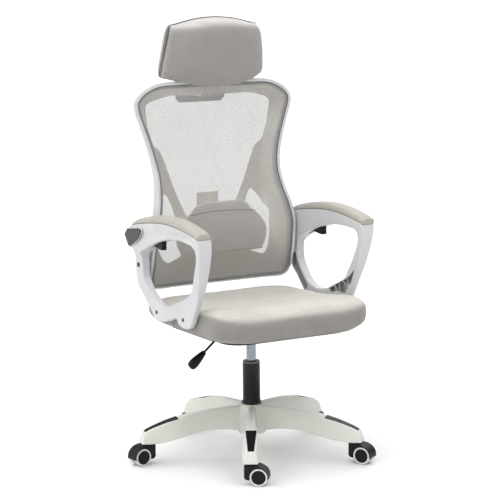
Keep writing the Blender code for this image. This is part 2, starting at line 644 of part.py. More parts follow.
def arm_mesh(name):
    rings = []
    for outer_y, outer_z, inner_y, inner_z, near, far in arm_stations():
        outer, inner = Vector((outer_y, outer_z)), Vector((inner_y, inner_z))
        run = (inner - outer).normalized() * ARM_CHAMFER
        ring = []
        for place, across in ((outer, near + ARM_CHAMFER), (outer, far - ARM_CHAMFER),
                              (outer + run, far), (inner - run, far),
                              (inner, far - ARM_CHAMFER), (inner, near + ARM_CHAMFER),
                              (inner - run, near), (outer + run, near)):
            ring.append((across, place.x, place.y))
        rings.append(ring)
    return ring_mesh(name, rings, closed=True)


def pad_mesh(name):
    """The armrest pad, which follows the arm's top edge and overhangs its front corner."""
    stations = arm_stations()
    rings = []
    for station in range(PAD_SHAPE[-1][0] + 1):
        half, thick = between(PAD_SHAPE, station)
        y, z = stations[station][:2]
        ring = []
        for share_x, share_z in PAD_SECTION:
            ring.append((PAD_X + share_x * half, y, z + 2.0 * GAP + share_z * thick))
        rings.append(ring)
    y, front_z = stations[0][:2]
    nose = [(PAD_X + PAD_NOSE_SCALE * (x - PAD_X), y - PAD_NOSE, front_z + PAD_NOSE_SCALE * (z - front_z))
            for x, _, z in rings[0]]
    return ring_mesh(name, [nose] + rings)


def trigger_mesh(name):
    return prism_mesh(name, TRIGGER_OUTLINE, "X", *TRIGGER_X)


def arm_bolt_mesh(face):
    """A bolt from the rail inside the cushion to the arm's outer face at |x|."""
    under, top = face + GAP, face + GAP + BOLT_HEAD_THICK
    profile = [(0.0, BOLT_TIP_X), (BOLT_R, BOLT_TIP_X), (BOLT_R, under), (BOLT_HEAD_R[0], under),
               (BOLT_HEAD_R[1], top), (0.0, top)]
    return turned_mesh("arm_bolt", profile, "X", BOLT_SIDES)


def build_arms(seat):
    pivot_y, pivot_z = RECLINE_PIVOT
    pin_y, pin_z = TRIGGER_PIVOT
    slot = prism_mesh("slot", TRIGGER_SLOT, "X", TRIGGER_X[0] - TRIGGER_CLEAR, TRIGGER_X[1] + TRIGGER_CLEAR)
    holes = [across_x("pivot_hole", PIVOT_HOLE_R, *HOLE_X, 1.0, pivot_y, pivot_z),
             across_x("pin_hole", PIN_HOLE_R, *PIN_HOLE_X, 1.0, pin_y, pin_z)]
    for y, z, _ in ARM_BOLTS:
        holes.append(across_x("bolt_hole", BOLT_HOLE_R, *HOLE_X, 1.0, y, z))
    pivot_bolt = turned_mesh("pivot_bolt", PIVOT_BOLT, "X", BOLT_SIDES)
    pin = rod_mesh("trigger_pin", TRIGGER_PIN_R, *TRIGGER_PIN_X, "X")
    for side, turn_over in (("right", mirrored), ("left", lambda mesh: mesh)):
        arm = add(f"arm_shell_{side}", turn_over(arm_mesh("arm_shell")), WHITE, seat)
        shape(arm, add_cutter(f"arm_slot_{side}", turn_over(slot), seat))
        shape(arm, add_cutter(f"arm_holes_{side}", turn_over(joined_mesh("arm_holes", holes)), seat))
        add(f"arm_pad_{side}", turn_over(pad_mesh("arm_pad")), PAD, seat)
        cap = prism_mesh("arm_corner_cap", CAP_OUTLINE, "X", *CAP_X)
        add(f"arm_corner_cap_{side}", turn_over(cap), GLOSS_BLACK, seat)
        add(f"back_pivot_bolt_{side}", turn_over(pivot_bolt), STEEL, seat, (0.0, pivot_y, pivot_z))
        for number, (y, z, face) in enumerate(ARM_BOLTS, 1):
            add(f"arm_bolt_{side}_{number}", turn_over(arm_bolt_mesh(face)), STEEL, seat, (0.0, y, z))
        hinge = empty(f"recline_lever_pivot_{side}", (0.0, pin_y, pin_z), seat)
        blade = moved(trigger_mesh("recline_lever"), Matrix.Translation((0.0, -pin_y, -pin_z)))
        lever = add(f"recline_lever_{side}", turn_over(blade), BLACK, hinge)
        shape(lever, add_cutter(f"recline_pin_{side}", turn_over(pin), hinge), "UNION")


# ---- back --------------------------------------------------------------------------------
# Height: half width of the mesh, its depth y, and how deep the rim's side is.
BACK_SHAPE = (
    (0.4820, 0.2110, 0.1760, 0.026),
    (0.5030, 0.2285, 0.1660, 0.028),
    (0.5500, 0.2285, 0.1520, 0.030),
    (0.6000, 0.2270, 0.1410, 0.030),
    (0.6500, 0.2240, 0.1335, 0.030),
    (0.7000, 0.2130, 0.1370, 0.028),
    (0.7500, 0.2010, 0.1540, 0.026),
    (0.8000, 0.1960, 0.1710, 0.022),
    (0.8500, 0.2030, 0.1840, 0.016),
    (0.9000, 0.2160, 0.1895, 0.012),
    (0.9500, 0.2330, 0.1935, 0.010),
    (0.9900, 0.2460, 0.1945, 0.010),
    (1.0150, 0.2450, 0.1945, 0.010),
    (1.0390, 0.2180, 0.1950, 0.010),
    (1.0540, 0.1750, 0.1965, 0.010),
)
RIM_WIDTH = 0.0105
RIM_PROUD = 0.0025
FLANGE_WIDTH = 0.0085
FLANGE_CLEAR = 0.0013
MESH_THICK = 0.0010
CROWN_RISE = 0.004
CROWN_SHARES = (0.66, 0.33, 0.0, -0.33, -0.66)
SILL_SHARES = (-0.5, 0.0, 0.5)
RIM_EDGE = 0.003
WEB_LIP = 0.0045                    # how far behind the mesh the web's front edge starts
WEB_EDGE_INSET = 0.002
WEB_KNEE_INSET = 0.030
WEB_REAR_SPREAD = (0.0035, 0.004)   # how much wider the web's rear is, at its edge and its knee
WEB_REAR_SHARE = 0.65               # where the web's rear edge meets the depth of the rim
WEB_HEIGHTS = (0.4875, 0.50, 0.515, 0.53, 0.55, 0.57, 0.595, 0.62, 0.64, 0.66, 0.68, 0.70, 0.725, 0.75,
               0.80, 0.85, 0.90, 0.95, 0.98, 1.00, 1.0125, 1.025, 1.0370, 1.0440)
WINDOW_CUT_Y = (0.120, 0.330)
# Low and high corners of the headrest guide and its slot.
GUIDE_BOX = ((-0.030, 0.2200, 1.0190), (0.030, 0.2790, 1.0480))
GUIDE_SLOT = ((-0.0205, 0.2620, 1.000), (0.0205, 0.2705, 1.070))
BOSS = (0.0110, 0.2340, 0.2466)     # radius and |x| of the pivot bosses
BOSS_HOLE_X = (0.2270, 0.2500)
# Height and depth y of the moulded web behind the mesh.
WEB_DEPTH = (
    (0.4870, 0.1830), (0.5000, 0.1860), (0.5300, 0.1950), (0.5700, 0.2030), (0.6200, 0.2150),
    (0.6600, 0.2320), (0.7000, 0.2380), (0.7500, 0.2380), (0.8800, 0.2370), (0.9500, 0.2340),
    (1.0000, 0.2300), (1.0250, 0.2220), (1.0480, 0.2010),
)
WEB_THICK = 0.0040
MIDDLE_WINDOW = ((0.090, 1.0240), (0.125, 1.0260), (0.165, 1.0180), (0.195, 1.0090), (0.205, 1.0000),
                 (0.205, 0.9850), (0.198, 0.9380), (0.182, 0.8860), (0.170, 0.8770), (0.158, 0.8680),
                 (0.140, 0.8240), (0.120, 0.7700), (0.100, 0.7250), (0.088, 0.7000), (0.074, 0.6700),
                 (0.060, 0.6600))
SIDE_WINDOW = ((0.142, 0.7420), (0.130, 0.7180), (0.120, 0.6940), (0.112, 0.6650), (0.106, 0.6200),
               (0.106, 0.5720), (0.122, 0.5580), (0.158, 0.5450), (0.170, 0.5510), (0.181, 0.5720),
               (0.192, 0.6120), (0.196, 0.6550), (0.194, 0.6750), (0.170, 0.7150))
LUMBAR_OUTLINE = ((0.0, 0.7185), (0.050, 0.7180), (0.085, 0.7070), (0.097, 0.6930), (0.122, 0.6730),
                  (0.142, 0.6480), (0.150, 0.6270), (0.146, 0.5970), (0.135, 0.5770), (0.114, 0.5680),
                  (0.0, 0.5660))


def back_loop():
    """Points round the mesh's edge, anticlockwise from the bottom right: x, y, z, rim depth."""
    side = smooth_run(BACK_SHAPE, 2)
    right = [(width, y, z, deep) for z, width, y, deep in side]
    bottom_z, bottom_half, bottom_y, bottom_deep = BACK_SHAPE[0]
    top_z, top_half, top_y, top_deep = BACK_SHAPE[-1]
    crown = [(top_half * share, top_y, top_z + CROWN_RISE * (1.0 - share * share), top_deep)
             for share in CROWN_SHARES]
    sill = [(bottom_half * share, bottom_y, bottom_z, bottom_deep) for share in SILL_SHARES]
    left = [(-x, y, z, deep) for x, y, z, deep in reversed(right)]
    return right + crown + left + sill


def loop_outward(loop, index):
    """Unit direction in the XZ plane that points out of the loop at one of its points."""
    before, after = loop[index - 1], loop[(index + 1) % len(loop)]
    return Vector((after[2] - before[2], before[0] - after[0])).normalized()


def rim_mesh(name):
    """The rim with its rebate for the mesh, as one closed run of L-shaped sections."""
    loop = back_loop()
    rings = []
    for index, (x, y, z, deep) in enumerate(loop):
        out = loop_outward(loop, index)
        ring = []
        for reach, depth in ((RIM_WIDTH, y - RIM_PROUD + RIM_EDGE), (RIM_WIDTH - RIM_EDGE, y - RIM_PROUD),
                             (GAP, y - RIM_PROUD), (GAP, y + MESH_THICK + FLANGE_CLEAR),
                             (-FLANGE_WIDTH, y + MESH_THICK + FLANGE_CLEAR), (-FLANGE_WIDTH, y + deep),
                             (RIM_WIDTH - RIM_EDGE, y + deep), (RIM_WIDTH, y + deep - RIM_EDGE)):
            ring.append((x + out.x * reach, depth, z + out.y * reach))
        rings.append(ring)
    return ring_mesh(name, rings, closed=True)


def web_mesh(name):
    """The dished web that braces the rim behind the mesh, before its windows are cut."""
    rings = []
    curve = smooth_run(BACK_SHAPE, 2)
    for height in WEB_HEIGHTS:
        half, y, deep = between(curve, height)
        web_y = between(WEB_DEPTH, height)[0]
        edge, knee = half - WEB_EDGE_INSET, half - WEB_KNEE_INSET
        rear_edge, rear_knee = edge + WEB_REAR_SPREAD[0], knee + WEB_REAR_SPREAD[1]
        rear_y = y + WEB_REAR_SHARE * deep
        front = [(-edge, y + WEB_LIP), (-knee, web_y), (knee, web_y), (edge, y + WEB_LIP)]
        rear = [(rear_edge, rear_y), (rear_knee, web_y + WEB_THICK),
                (-rear_knee, web_y + WEB_THICK), (-rear_edge, rear_y)]
        rings.append([(x, depth, height) for x, depth in front + rear])
    return ring_mesh(name, rings)


def window_mesh(name, outline, mirror_outline):
    points = list(outline)
    if mirror_outline:
        points += [(-x, z) for x, z in reversed(outline)]
    return prism_mesh(name, points, "Y", *WINDOW_CUT_Y)


def build_back(back):
    pivot_y, pivot_z = RECLINE_PIVOT
    local = Matrix.Translation((0.0, -pivot_y, -pivot_z))
    frame = add("back_frame", moved(web_mesh("back_frame"), local), WHITE, back)
    windows = joined_mesh("windows", [
        window_mesh("middle_window", MIDDLE_WINDOW, True),
        window_mesh("left_window", SIDE_WINDOW, False),
        window_mesh("right_window", [(-x, z) for x, z in SIDE_WINDOW], False),
    ])
    shape(frame, add_cutter("windows", moved(windows, local), back))
    shape(frame, add_cutter("rim", moved(rim_mesh("rim"), local), back), "UNION")
    bosses = [box_mesh("guide", *GUIDE_BOX)]
    holes = [box_mesh("guide_slot", *GUIDE_SLOT)]
    for side in (-1.0, 1.0):
        bosses.append(across_x("boss", *BOSS, side, pivot_y, pivot_z))
        holes.append(across_x("pivot_hole", PIVOT_HOLE_R, *BOSS_HOLE_X, side, pivot_y, pivot_z))
    shape(frame, add_cutter("bosses", moved(joined_mesh("bosses", bosses), local), back), "UNION")
    shape(frame, add_cutter("frame_holes", moved(joined_mesh("frame_holes", holes), local), back))

    loop = [point[:3] for point in back_loop()]
    half_run = len(BACK_SHAPE) * 2 - 1
    rows = []
    for x, y, z in loop[:half_run]:
        rows.append([(-x, y, z), (x, y, z), (x, y + MESH_THICK, z), (-x, y + MESH_THICK, z)])
    add("back_mesh", moved(ring_mesh("back_mesh", rows), local), MESH, back)


LUMBAR_MIDDLE_Z = 0.640
# Depth y of each ring of the lumbar pad and its size as a share of the outline.
LUMBAR_RINGS = ((0.1545, 0.93), (0.1570, 0.985), (0.1600, 1.0), (0.1660, 1.0), (0.1680, 0.98))
LUMBAR_STEM = ((-0.022, 0.1660, 0.686), (0.022, 0.2480, 0.700))
LUMBAR_TAB = ((-0.036, 0.2430, 0.684), (0.036, 0.2495, 0.737))


def build_lumbar(back):
    """Lumbar pad behind the mesh, on a stem that runs through the web to a slider tab."""
    pivot_y, pivot_z = RECLINE_PIVOT
    local = Matrix.Translation((0.0, -pivot_y, -pivot_z))
    outline = list(LUMBAR_OUTLINE) + [(-x, z) for x, z in reversed(LUMBAR_OUTLINE[1:-1])]
    rings = []
    for depth, shrink in LUMBAR_RINGS:
        rings.append([(x * shrink, depth, LUMBAR_MIDDLE_Z + (z - LUMBAR_MIDDLE_Z) * shrink)
                      for x, z in outline])
    lumbar = add("lumbar_pad", moved(ring_mesh("lumbar_pad", rings), local), WHITE, back)
    for name, box in (("lumbar_stem", LUMBAR_STEM), ("lumbar_tab", LUMBAR_TAB)):
        shape(lumbar, add_cutter(name, moved(box_mesh(name, *box), local), back), "UNION")


# ---- headrest ----------------------------------------------------------------------------
HEADREST_HALF = 0.166
SHELL_EXTRA = 0.006
HEAD_LOW_Z = 1.0520
HEAD_HIGH_Z = 1.2470
HEAD_BOW = 0.026                    # rise of the bottom edge from the middle to the ends
HEAD_ARCH = 0.020                   # fall of the top edge from the middle to the ends
HEAD_LEAN = 0.15
HEAD_REAR_Y = 0.2225
HEAD_WIDEST_Z = 1.08
HEAD_TAPER_Z = 0.15
HEAD_TAPER = 0.0205
HEAD_STATIONS = 13
CUSHION_BULGE = (0.72, 3.0)         # loss of thickness at the ends, and how late it comes
SHELL_BULGE = (0.6, 4.0)
SHELL_LIFT = 0.034                  # the shell's lower edge over the cushion's, in the middle
SHELL_LIFT_END = 0.008
SHELL_TOP = 0.003
# Share of the height, and depth forward or back of the plane between cushion and shell.
CUSHION_SECTION = ((0.165, 0.0), (0.120, 0.016), (0.070, 0.034), (0.0, 0.048), (0.020, 0.062),
                   (0.20, 0.070), (0.45, 0.073), (0.70, 0.068), (0.88, 0.054), (0.97, 0.034),
                   (1.0, 0.012), (0.985, 0.0))
SHELL_SECTION = ((0.0, 0.0), (1.0, 0.0), (0.98, 0.006), (0.75, 0.015), (0.25, 0.015), (0.02, 0.006))
CUSHION_CLEAR = 0.0013
# Low and high corners of the slide bar and its bridge, and the outline (x, z) of its cover plate.
BAR_BOX = ((-0.0200, 0.2624, 0.975), (0.0200, 0.2701, 1.080))
BRIDGE_BOX = ((-0.0300, 0.2560, 1.0530), (0.0300, 0.2830, 1.0660))
COVER_OUTLINE = ((-0.070, 1.000), (0.070, 1.000), (0.082, 1.016), (0.082, 1.066), (-0.082, 1.066),
                 (-0.082, 1.016))
COVER_Y = (0.2800, 0.2860)
RISER_HALF = 0.029
RISER = ((1.060, 0.2560, 0.2650), (1.100, 0.2430, 0.2510), (1.128, 0.2420, 0.2490))   # z, front y, rear y
BARREL = (0.0065, 0.0310)           # radius and half length
TRUNNION = (0.0035, 0.0380)
LUG_BORE = (0.0038, 0.0386)
LUG_X = (0.0316, 0.0400)
LUG_OUTLINE = ((0.2220, 1.1180), (0.2480, 1.1210), (0.2540, 1.1300), (0.2480, 1.1390), (0.2200, 1.1440))


def headrest_span(x):
    """Lowest and highest points of the headrest at a distance from its middle."""
    share = min(abs(x) / HEADREST_HALF, 1.0)
    return HEAD_LOW_Z + HEAD_BOW * share ** 2, HEAD_HIGH_Z - HEAD_ARCH * share ** 2


def headrest_rear(z):
    """Depth y of the plane where cushion and shell meet; it leans forward as it rises."""
    return HEAD_REAR_Y - HEAD_LEAN * (z - HEAD_WIDEST_Z)


def headrest_half(z, extra):
    """Half width of the headrest, narrower towards its top."""
    return HEADREST_HALF + extra - HEAD_TAPER * min(max((z - HEAD_WIDEST_Z) / HEAD_TAPER_Z, 0.0), 1.0)


def headrest_sides():
    """Shares of the half width, closer together towards the ends."""
    return [math.sin((2.0 * k / (HEAD_STATIONS - 1) - 1.0) * math.pi / 2.0) for k in range(HEAD_STATIONS)]


def cushion_mesh(name):
    rings = []
    for side in headrest_sides():
        low, high = headrest_span(side * HEADREST_HALF)
        bulge = 1.0 - CUSHION_BULGE[0] * abs(side) ** CUSHION_BULGE[1]
        ring = []
        for share, puff in CUSHION_SECTION:
            z = low + (high - low) * share
            ring.append((side * headrest_half(z, 0.0), headrest_rear(z) - CUSHION_CLEAR - puff * bulge, z))
        rings.append(ring)
    return ring_mesh(name, rings)


def shell_mesh(name):
    rings = []
    for side in headrest_sides():
        low, high = headrest_span(side * HEADREST_HALF)
        low += SHELL_LIFT + (SHELL_LIFT_END - SHELL_LIFT) * side ** 2
        high += SHELL_TOP
        bulge = 1.0 - SHELL_BULGE[0] * abs(side) ** SHELL_BULGE[1]
        ring = []
        for share, depth in SHELL_SECTION:
            z = low + (high - low) * share
            ring.append((side * headrest_half(z, SHELL_EXTRA), headrest_rear(z) + depth * bulge, z))
        rings.append(ring)
    return ring_mesh(name, rings)


def build_headrest(carrier, head):
    """Bracket that slides in the back's guide, and the tilting headrest on its trunnions."""
    pivot_y, pivot_z = HEADREST_PIVOT
    local = Matrix.Translation((0.0, -pivot_y, -pivot_z))
    bar = add("headrest_bracket", moved(box_mesh("bar", *BAR_BOX), local), WHITE, carrier)
    riser = ring_mesh("riser", [[(-RISER_HALF, front, z), (RISER_HALF, front, z), (RISER_HALF, rear, z),
                                 (-RISER_HALF, rear, z)] for z, front, rear in RISER])
    pieces = [prism_mesh("cover", COVER_OUTLINE, "Y", *COVER_Y), box_mesh("bridge", *BRIDGE_BOX), riser]
    for radius, half in (BARREL, TRUNNION):
        pieces.append(across_x("pivot", radius, -half, half, 1.0, pivot_y, pivot_z))
    for number, piece in enumerate(pieces):
        shape(bar, add_cutter(f"bracket_piece_{number}", moved(piece, local), carrier), "UNION")
    shell = add("headrest_shell", moved(shell_mesh("headrest_shell"), local), WHITE, head)
    lugs = []
    for side in (-1.0, 1.0):
        low, high = sorted((side * LUG_X[0], side * LUG_X[1]))
        lugs.append(prism_mesh("lug", LUG_OUTLINE, "X", low, high))
    shape(shell, add_cutter("shell_lugs", moved(joined_mesh("lugs", lugs), local), head), "UNION")
    bore = across_x("lug_bore", LUG_BORE[0], -LUG_BORE[1], LUG_BORE[1], 1.0, 0.0, 0.0)
    shape(shell, add_cutter("lug_bore", bore, head))
    add("headrest_cushion", moved(cushion_mesh("headrest_cushion"), local), FABRIC, head)


# ---- the chair ---------------------------------------------------------------------------
def main():
    for old in list(bpy.data.objects):
        bpy.data.objects.remove(old)
    chair = empty("chair_origin", LIFT_AXIS)
    rod_turn = empty("lift_swivel", (0.0, 0.0, 0.0), chair)
    seat = empty("seat_carrier", (0.0, 0.0, 0.0), rod_turn)
    back = empty("back_pivot", (0.0, *RECLINE_PIVOT), seat)
    head_at = (0.0, HEADREST_PIVOT[0] - RECLINE_PIVOT[0], HEADREST_PIVOT[1] - RECLINE_PIVOT[1])
    carrier = empty("headrest_slide", head_at, back)
    head = empty("headrest_pivot", (0.0, 0.0, 0.0), carrier)
    build_base(chair)
    build_casters(chair)
    build_lift(chair, rod_turn, seat)
    build_mechanism(seat)
    build_height_lever(seat)
    build_seat(seat)
    build_arms(seat)
    build_back(back)
    build_lumbar(back)
    build_headrest(carrier, head)


main()
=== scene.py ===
# Looks for the high-back office chair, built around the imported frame.
#
# Metres, +Z up; the sitter faces -Y. Shapes are laid out around the gas lift's axis on the floor,
# and every object stands at LIFT, which is where the frame has that axis.

import json
import math

import bmesh
import bpy
from mathutils import Matrix, Vector, noise


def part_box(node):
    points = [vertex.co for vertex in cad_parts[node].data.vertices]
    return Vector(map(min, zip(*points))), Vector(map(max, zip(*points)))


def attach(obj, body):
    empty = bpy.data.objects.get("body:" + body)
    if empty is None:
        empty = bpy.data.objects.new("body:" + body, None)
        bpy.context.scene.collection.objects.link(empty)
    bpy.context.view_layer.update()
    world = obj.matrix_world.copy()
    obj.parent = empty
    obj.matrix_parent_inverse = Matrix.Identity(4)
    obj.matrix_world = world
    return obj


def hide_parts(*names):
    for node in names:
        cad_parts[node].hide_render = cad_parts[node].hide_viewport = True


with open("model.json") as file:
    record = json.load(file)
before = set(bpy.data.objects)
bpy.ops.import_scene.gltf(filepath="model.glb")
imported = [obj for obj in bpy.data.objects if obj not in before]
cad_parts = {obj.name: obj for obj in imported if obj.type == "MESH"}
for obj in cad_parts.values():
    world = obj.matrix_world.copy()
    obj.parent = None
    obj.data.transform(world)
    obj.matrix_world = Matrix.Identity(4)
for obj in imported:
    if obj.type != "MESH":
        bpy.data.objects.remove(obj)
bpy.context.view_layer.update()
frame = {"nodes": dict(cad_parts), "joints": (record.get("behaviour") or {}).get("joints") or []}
NODES = frame["nodes"]
JOINTS = {joint["name"]: joint for joint in frame["joints"]}
SIDES = (("right", -1.0), ("left", 1.0))
FINE = 48                           # sides of a turned piece
ROUND = 64                          # sides of the larger ones


def node_middle(name):
    low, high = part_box(name)
    return (low + high) / 2.0


LIFT = node_middle("lift_column")
LIFT.z = 0.0


# ---- mesh helpers ------------------------------------------------------------------------
def to_mesh(form):
    bmesh.ops.recalc_face_normals(form, faces=form.faces)
    mesh = bpy.data.meshes.new("piece")
    form.to_mesh(mesh)
    form.free()
    return mesh


def skin(rings, closed=False):
    """Skin a run of equal rings of points, capped at its ends unless it closes on itself."""
    form = bmesh.new()
    rows = [[form.verts.new(point) for point in ring] for ring in rings]
    count = len(rows[0])
    for row in range(len(rows) if closed else len(rows) - 1):
        here, there = rows[row], rows[(row + 1) % len(rows)]
        for k in range(count):
            nxt = (k + 1) % count
            form.faces.new((here[k], here[nxt], there[nxt], there[k]))
    if not closed:
        form.faces.new(rows[0])
        form.faces.new(rows[-1])
    return to_mesh(form)


def turned(profile, axis="Z", sides=FINE):
    """Turn a closed outline of (radius, height) points once round an axis."""
    form = bmesh.new()
    rows = []
    for side in range(sides):
        angle = 2.0 * math.pi * side / sides
        rows.append([form.verts.new((radius * math.cos(angle), radius * math.sin(angle), height))
                     for radius, height in profile])
    for side in range(sides):
        here, there = rows[side], rows[(side + 1) % sides]
        for k in range(len(profile)):
            nxt = (k + 1) % len(profile)
            if profile[k][0] > 0.0 or profile[nxt][0] > 0.0:
                form.faces.new((here[k], here[nxt], there[nxt], there[k]))
    bmesh.ops.remove_doubles(form, verts=form.verts, dist=1e-7)
    bmesh.ops.dissolve_degenerate(form, edges=form.edges, dist=1e-7)
    spin = {"X": Matrix.Rotation(math.pi / 2.0, 3, "Y"), "Y": Matrix.Rotation(-math.pi / 2.0, 3, "X")}
    if axis in spin:
        bmesh.ops.rotate(form, verts=form.verts, matrix=spin[axis])
    return to_mesh(form)


def rod(radius, low, high, axis="Z", sides=FINE):
    return turned([(0.0, low), (radius, low), (radius, high), (0.0, high)], axis, sides)


def prism(outline, axis, low, high):
    """Extrude an outline along an axis. Outlines are (y, z) for X, (x, z) for Y, (x, y) for Z."""
    rings = []
    for level in (low, high):
        rings.append([{"X": (level, a, b), "Y": (a, level, b), "Z": (a, b, level)}[axis]
                      for a, b in outline])
    return skin(rings)


def block(low, high, radius=0.0):
    """A box between two corners, its upright edges rounded by the radius."""
    outline = [(low[0], low[1]), (high[0], low[1]), (high[0], high[1]), (low[0], high[1])]
    return prism(rounded(outline, radius) if radius else outline, "Z", low[2], high[2])


def tube_along(points, radius, closed=False, sides=10):
    """A round tube along a run of points."""
    points = [Vector(point) for point in points]
    rings = []
    side = Vector((0.31, 0.17, 0.93))
    for k, here in enumerate(points):
        before = points[k - 1] if closed or k else here
        after = points[(k + 1) % len(points)] if closed or k + 1 < len(points) else here
        run = (after - before).normalized()
        side = (side - run * side.dot(run)).normalized()
        up = run.cross(side)
        rings.append([here + radius * (math.cos(turn) * side + math.sin(turn) * up)
                      for turn in (2.0 * math.pi * k / sides for k in range(sides))])
    return skin(rings, closed)


def joined(meshes):
    form = bmesh.new()
    for part in meshes:
        form.from_mesh(part)
    mesh = bpy.data.meshes.new("piece")
    form.to_mesh(mesh)
    form.free()
    return mesh


def moved(mesh, matrix):
    copy = mesh.copy()
    copy.transform(matrix)
    return copy


def shifted(mesh, x, y, z):
    return moved(mesh, Matrix.Translation((x, y, z)))


def mirrored(mesh):
    """The same mesh on the other side of the chair's middle plane, faces still out."""
    copy = moved(mesh, Matrix.Scale(-1.0, 4, (1.0, 0.0, 0.0)))
    copy.flip_normals()
    return copy


def smooth_run(points, steps, closed=False):
    """Points along a Catmull-Rom curve through the given ones, which may have any number of values."""
    count = len(points)
    run = []
    for span in range(count if closed else count - 1):
        if closed:
            a, b, c, d = (points[(span + k) % count] for k in (-1, 0, 1, 2))
        else:
            a, b, c, d = (points[min(max(span + k, 0), count - 1)] for k in (-1, 0, 1, 2))
        for step in range(steps):
            t = step / steps
            run.append(tuple(
                0.5 * (2 * q + (r - p) * t + (2 * p - 5 * q + 4 * r - s) * t * t
                       + (3 * q - p - 3 * r + s) * t ** 3)
                for p, q, r, s in zip(a, b, c, d)))
    if not closed:
        run.append(tuple(points[-1]))
    return run


def between(table, at):
    """Straight-line interpolation in rows of (position, value, value, ...)."""
    if at <= table[0][0]:
        return table[0][1:]
    for low, high in zip(table, table[1:]):
        if at <= high[0]:
            share = (at - low[0]) / (high[0] - low[0])
            return tuple(p + (q - p) * share for p, q in zip(low[1:], high[1:]))
    return table[-1][1:]


def ease(value, low, high):
    """0 below low, 1 above high, and a smooth step between them."""
    share = min(max((value - low) / (high - low), 0.0), 1.0)
    return share * share * (3.0 - 2.0 * share)


def rounded(outline, radius, steps=4):
    """The outline with each corner turned into a short curve."""
    made = []
    for k, point in enumerate(outline):
        here = Vector(point)
        back = Vector(outline[k - 1]) - here
        onward = Vector(outline[(k + 1) % len(outline)]) - here
        reach = min(radius, 0.45 * back.length, 0.45 * onward.length)
        start, end = here + back.normalized() * reach, here + onward.normalized() * reach
        for step in range(steps + 1):
            t = step / steps
            made.append(tuple((1 - t) ** 2 * start + 2 * t * (1 - t) * here + t * t * end))
    return made


def span(sign, near, far):
    """Low and high x of a piece that reaches from near to far on one side of the middle plane."""
    return sorted((sign * near, sign * far))


def scratch(mesh):
    made = bpy.data.objects.new("scratch", mesh)
    bpy.context.scene.collection.objects.link(made)
    return made


def evaluated(obj):
    """The object's mesh with its modifiers applied; the object is removed."""
    graph = bpy.context.evaluated_depsgraph_get()
    mesh = bpy.data.meshes.new_from_object(obj.evaluated_get(graph))
    bpy.data.objects.remove(obj)
    return mesh


def combined(mesh, tool, operation="DIFFERENCE"):
    """A new mesh: one closed mesh cut by another, or joined with it."""
    host, other = scratch(mesh), scratch(tool)
    step = host.modifiers.new("combine", "BOOLEAN")
    step.operation = operation
    step.solver = "EXACT"
    step.material_mode = "TRANSFER" if tool.materials else "INDEX"
    step.object = other
    made = evaluated(host)
    bpy.data.objects.remove(other)
    return made


def united(mesh, *tools):
    for tool in tools:
        mesh = combined(mesh, tool, "UNION")
    return mesh


def softened(mesh, voxel, rounds):
    """The closed mesh made again in even faces and smoothed, which rounds every edge."""
    host = scratch(mesh)
    even = host.modifiers.new("even", "REMESH")
    even.mode = "VOXEL"
    even.voxel_size = voxel
    smooth = host.modifiers.new("smooth", "SMOOTH")
    smooth.factor = 0.5
    smooth.iterations = rounds
    return evaluated(host)


SWELL_FRAMES = 20
SWELL_PRESSURE = 4.0
SWELL_REACH = 0.005                 # no point of a cover moves further than this
CORD_R = 0.0012                     # of the thin cords round the covers and the mesh
SAG_SHARE = 0.3                     # how much of a cover's inward pull at its corners is let through
TINY = 1e-9


def swollen(mesh, voxel, loose):
    """Blow a closed cover up from inside by cloth simulation.

    loose gives, for a point, how free it is of the seam that holds it: 0 is sewn down.
    """
    start = softened(mesh, voxel, 3)
    rest = [(vertex.co.copy(), vertex.normal.copy()) for vertex in start.vertices]
    host = scratch(start)
    cloth = host.modifiers.new("swell", "CLOTH")
    cloth.settings.use_pressure = True
    cloth.settings.uniform_pressure_force = SWELL_PRESSURE
    cloth.settings.effector_weights.gravity = 0.0
    cloth.settings.tension_stiffness = 20.0
    cloth.settings.bending_stiffness = 4.0
    cloth.point_cache.frame_end = SWELL_FRAMES
    for number in range(1, SWELL_FRAMES + 1):
        bpy.context.scene.frame_set(number)
    made = evaluated(host)
    bpy.context.scene.frame_set(1)
    for vertex, (home, outward) in zip(made.vertices, rest):
        shift = vertex.co - home
        shift -= outward * (1.0 - SAG_SHARE) * min(shift.dot(outward), 0.0)
        vertex.co = home + shift * (loose(home) * min(1.0, SWELL_REACH / max(shift.length, TINY)))
    return made


def add(name, mesh, look, body, stands_for=None, bevel=0.0, subdivide=0, sharp=40.0,
        place=None, turn_z=0.0):
    """Link a finished piece, let it ride on a body and hide the CAD node it stands for."""
    mesh.name = name
    made = bpy.data.objects.new(name, mesh)
    bpy.context.scene.collection.objects.link(made)
    made.location = LIFT if place is None else place
    made.rotation_euler = (0.0, 0.0, turn_z)
    if not mesh.materials:
        mesh.materials.append(look)
    mesh.shade_smooth()
    if bevel:
        edge = made.modifiers.new("edge", "BEVEL")
        edge.width = bevel
        edge.segments = 3
        edge.limit_method = "ANGLE"
        edge.angle_limit = math.radians(sharp)
        edge.harden_normals = True
    elif not subdivide:
        mesh.set_sharp_from_angle(angle=math.radians(sharp))
    if subdivide:
        finer = made.modifiers.new("finer", "SUBSURF")
        finer.levels = subdivide
        finer.render_levels = subdivide
    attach(made, body)
    if stands_for:
        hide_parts(stands_for)
    return made


def dress(node, look):
    """Give a CAD node that stays visible a look of its own."""
    NODES[node].data.materials.clear()
    NODES[node].data.materials.append(look)


# ---- material helpers --------------------------------------------------------------------
def paint(red, green, blue):
    """Linear colour of a display colour given as 0 to 255."""
    return tuple(((value / 255.0 + 0.055) / 1.055) ** 2.4 for value in (red, green, blue))


def shaded(colour, factor):
    return tuple(value * factor for value in colour)


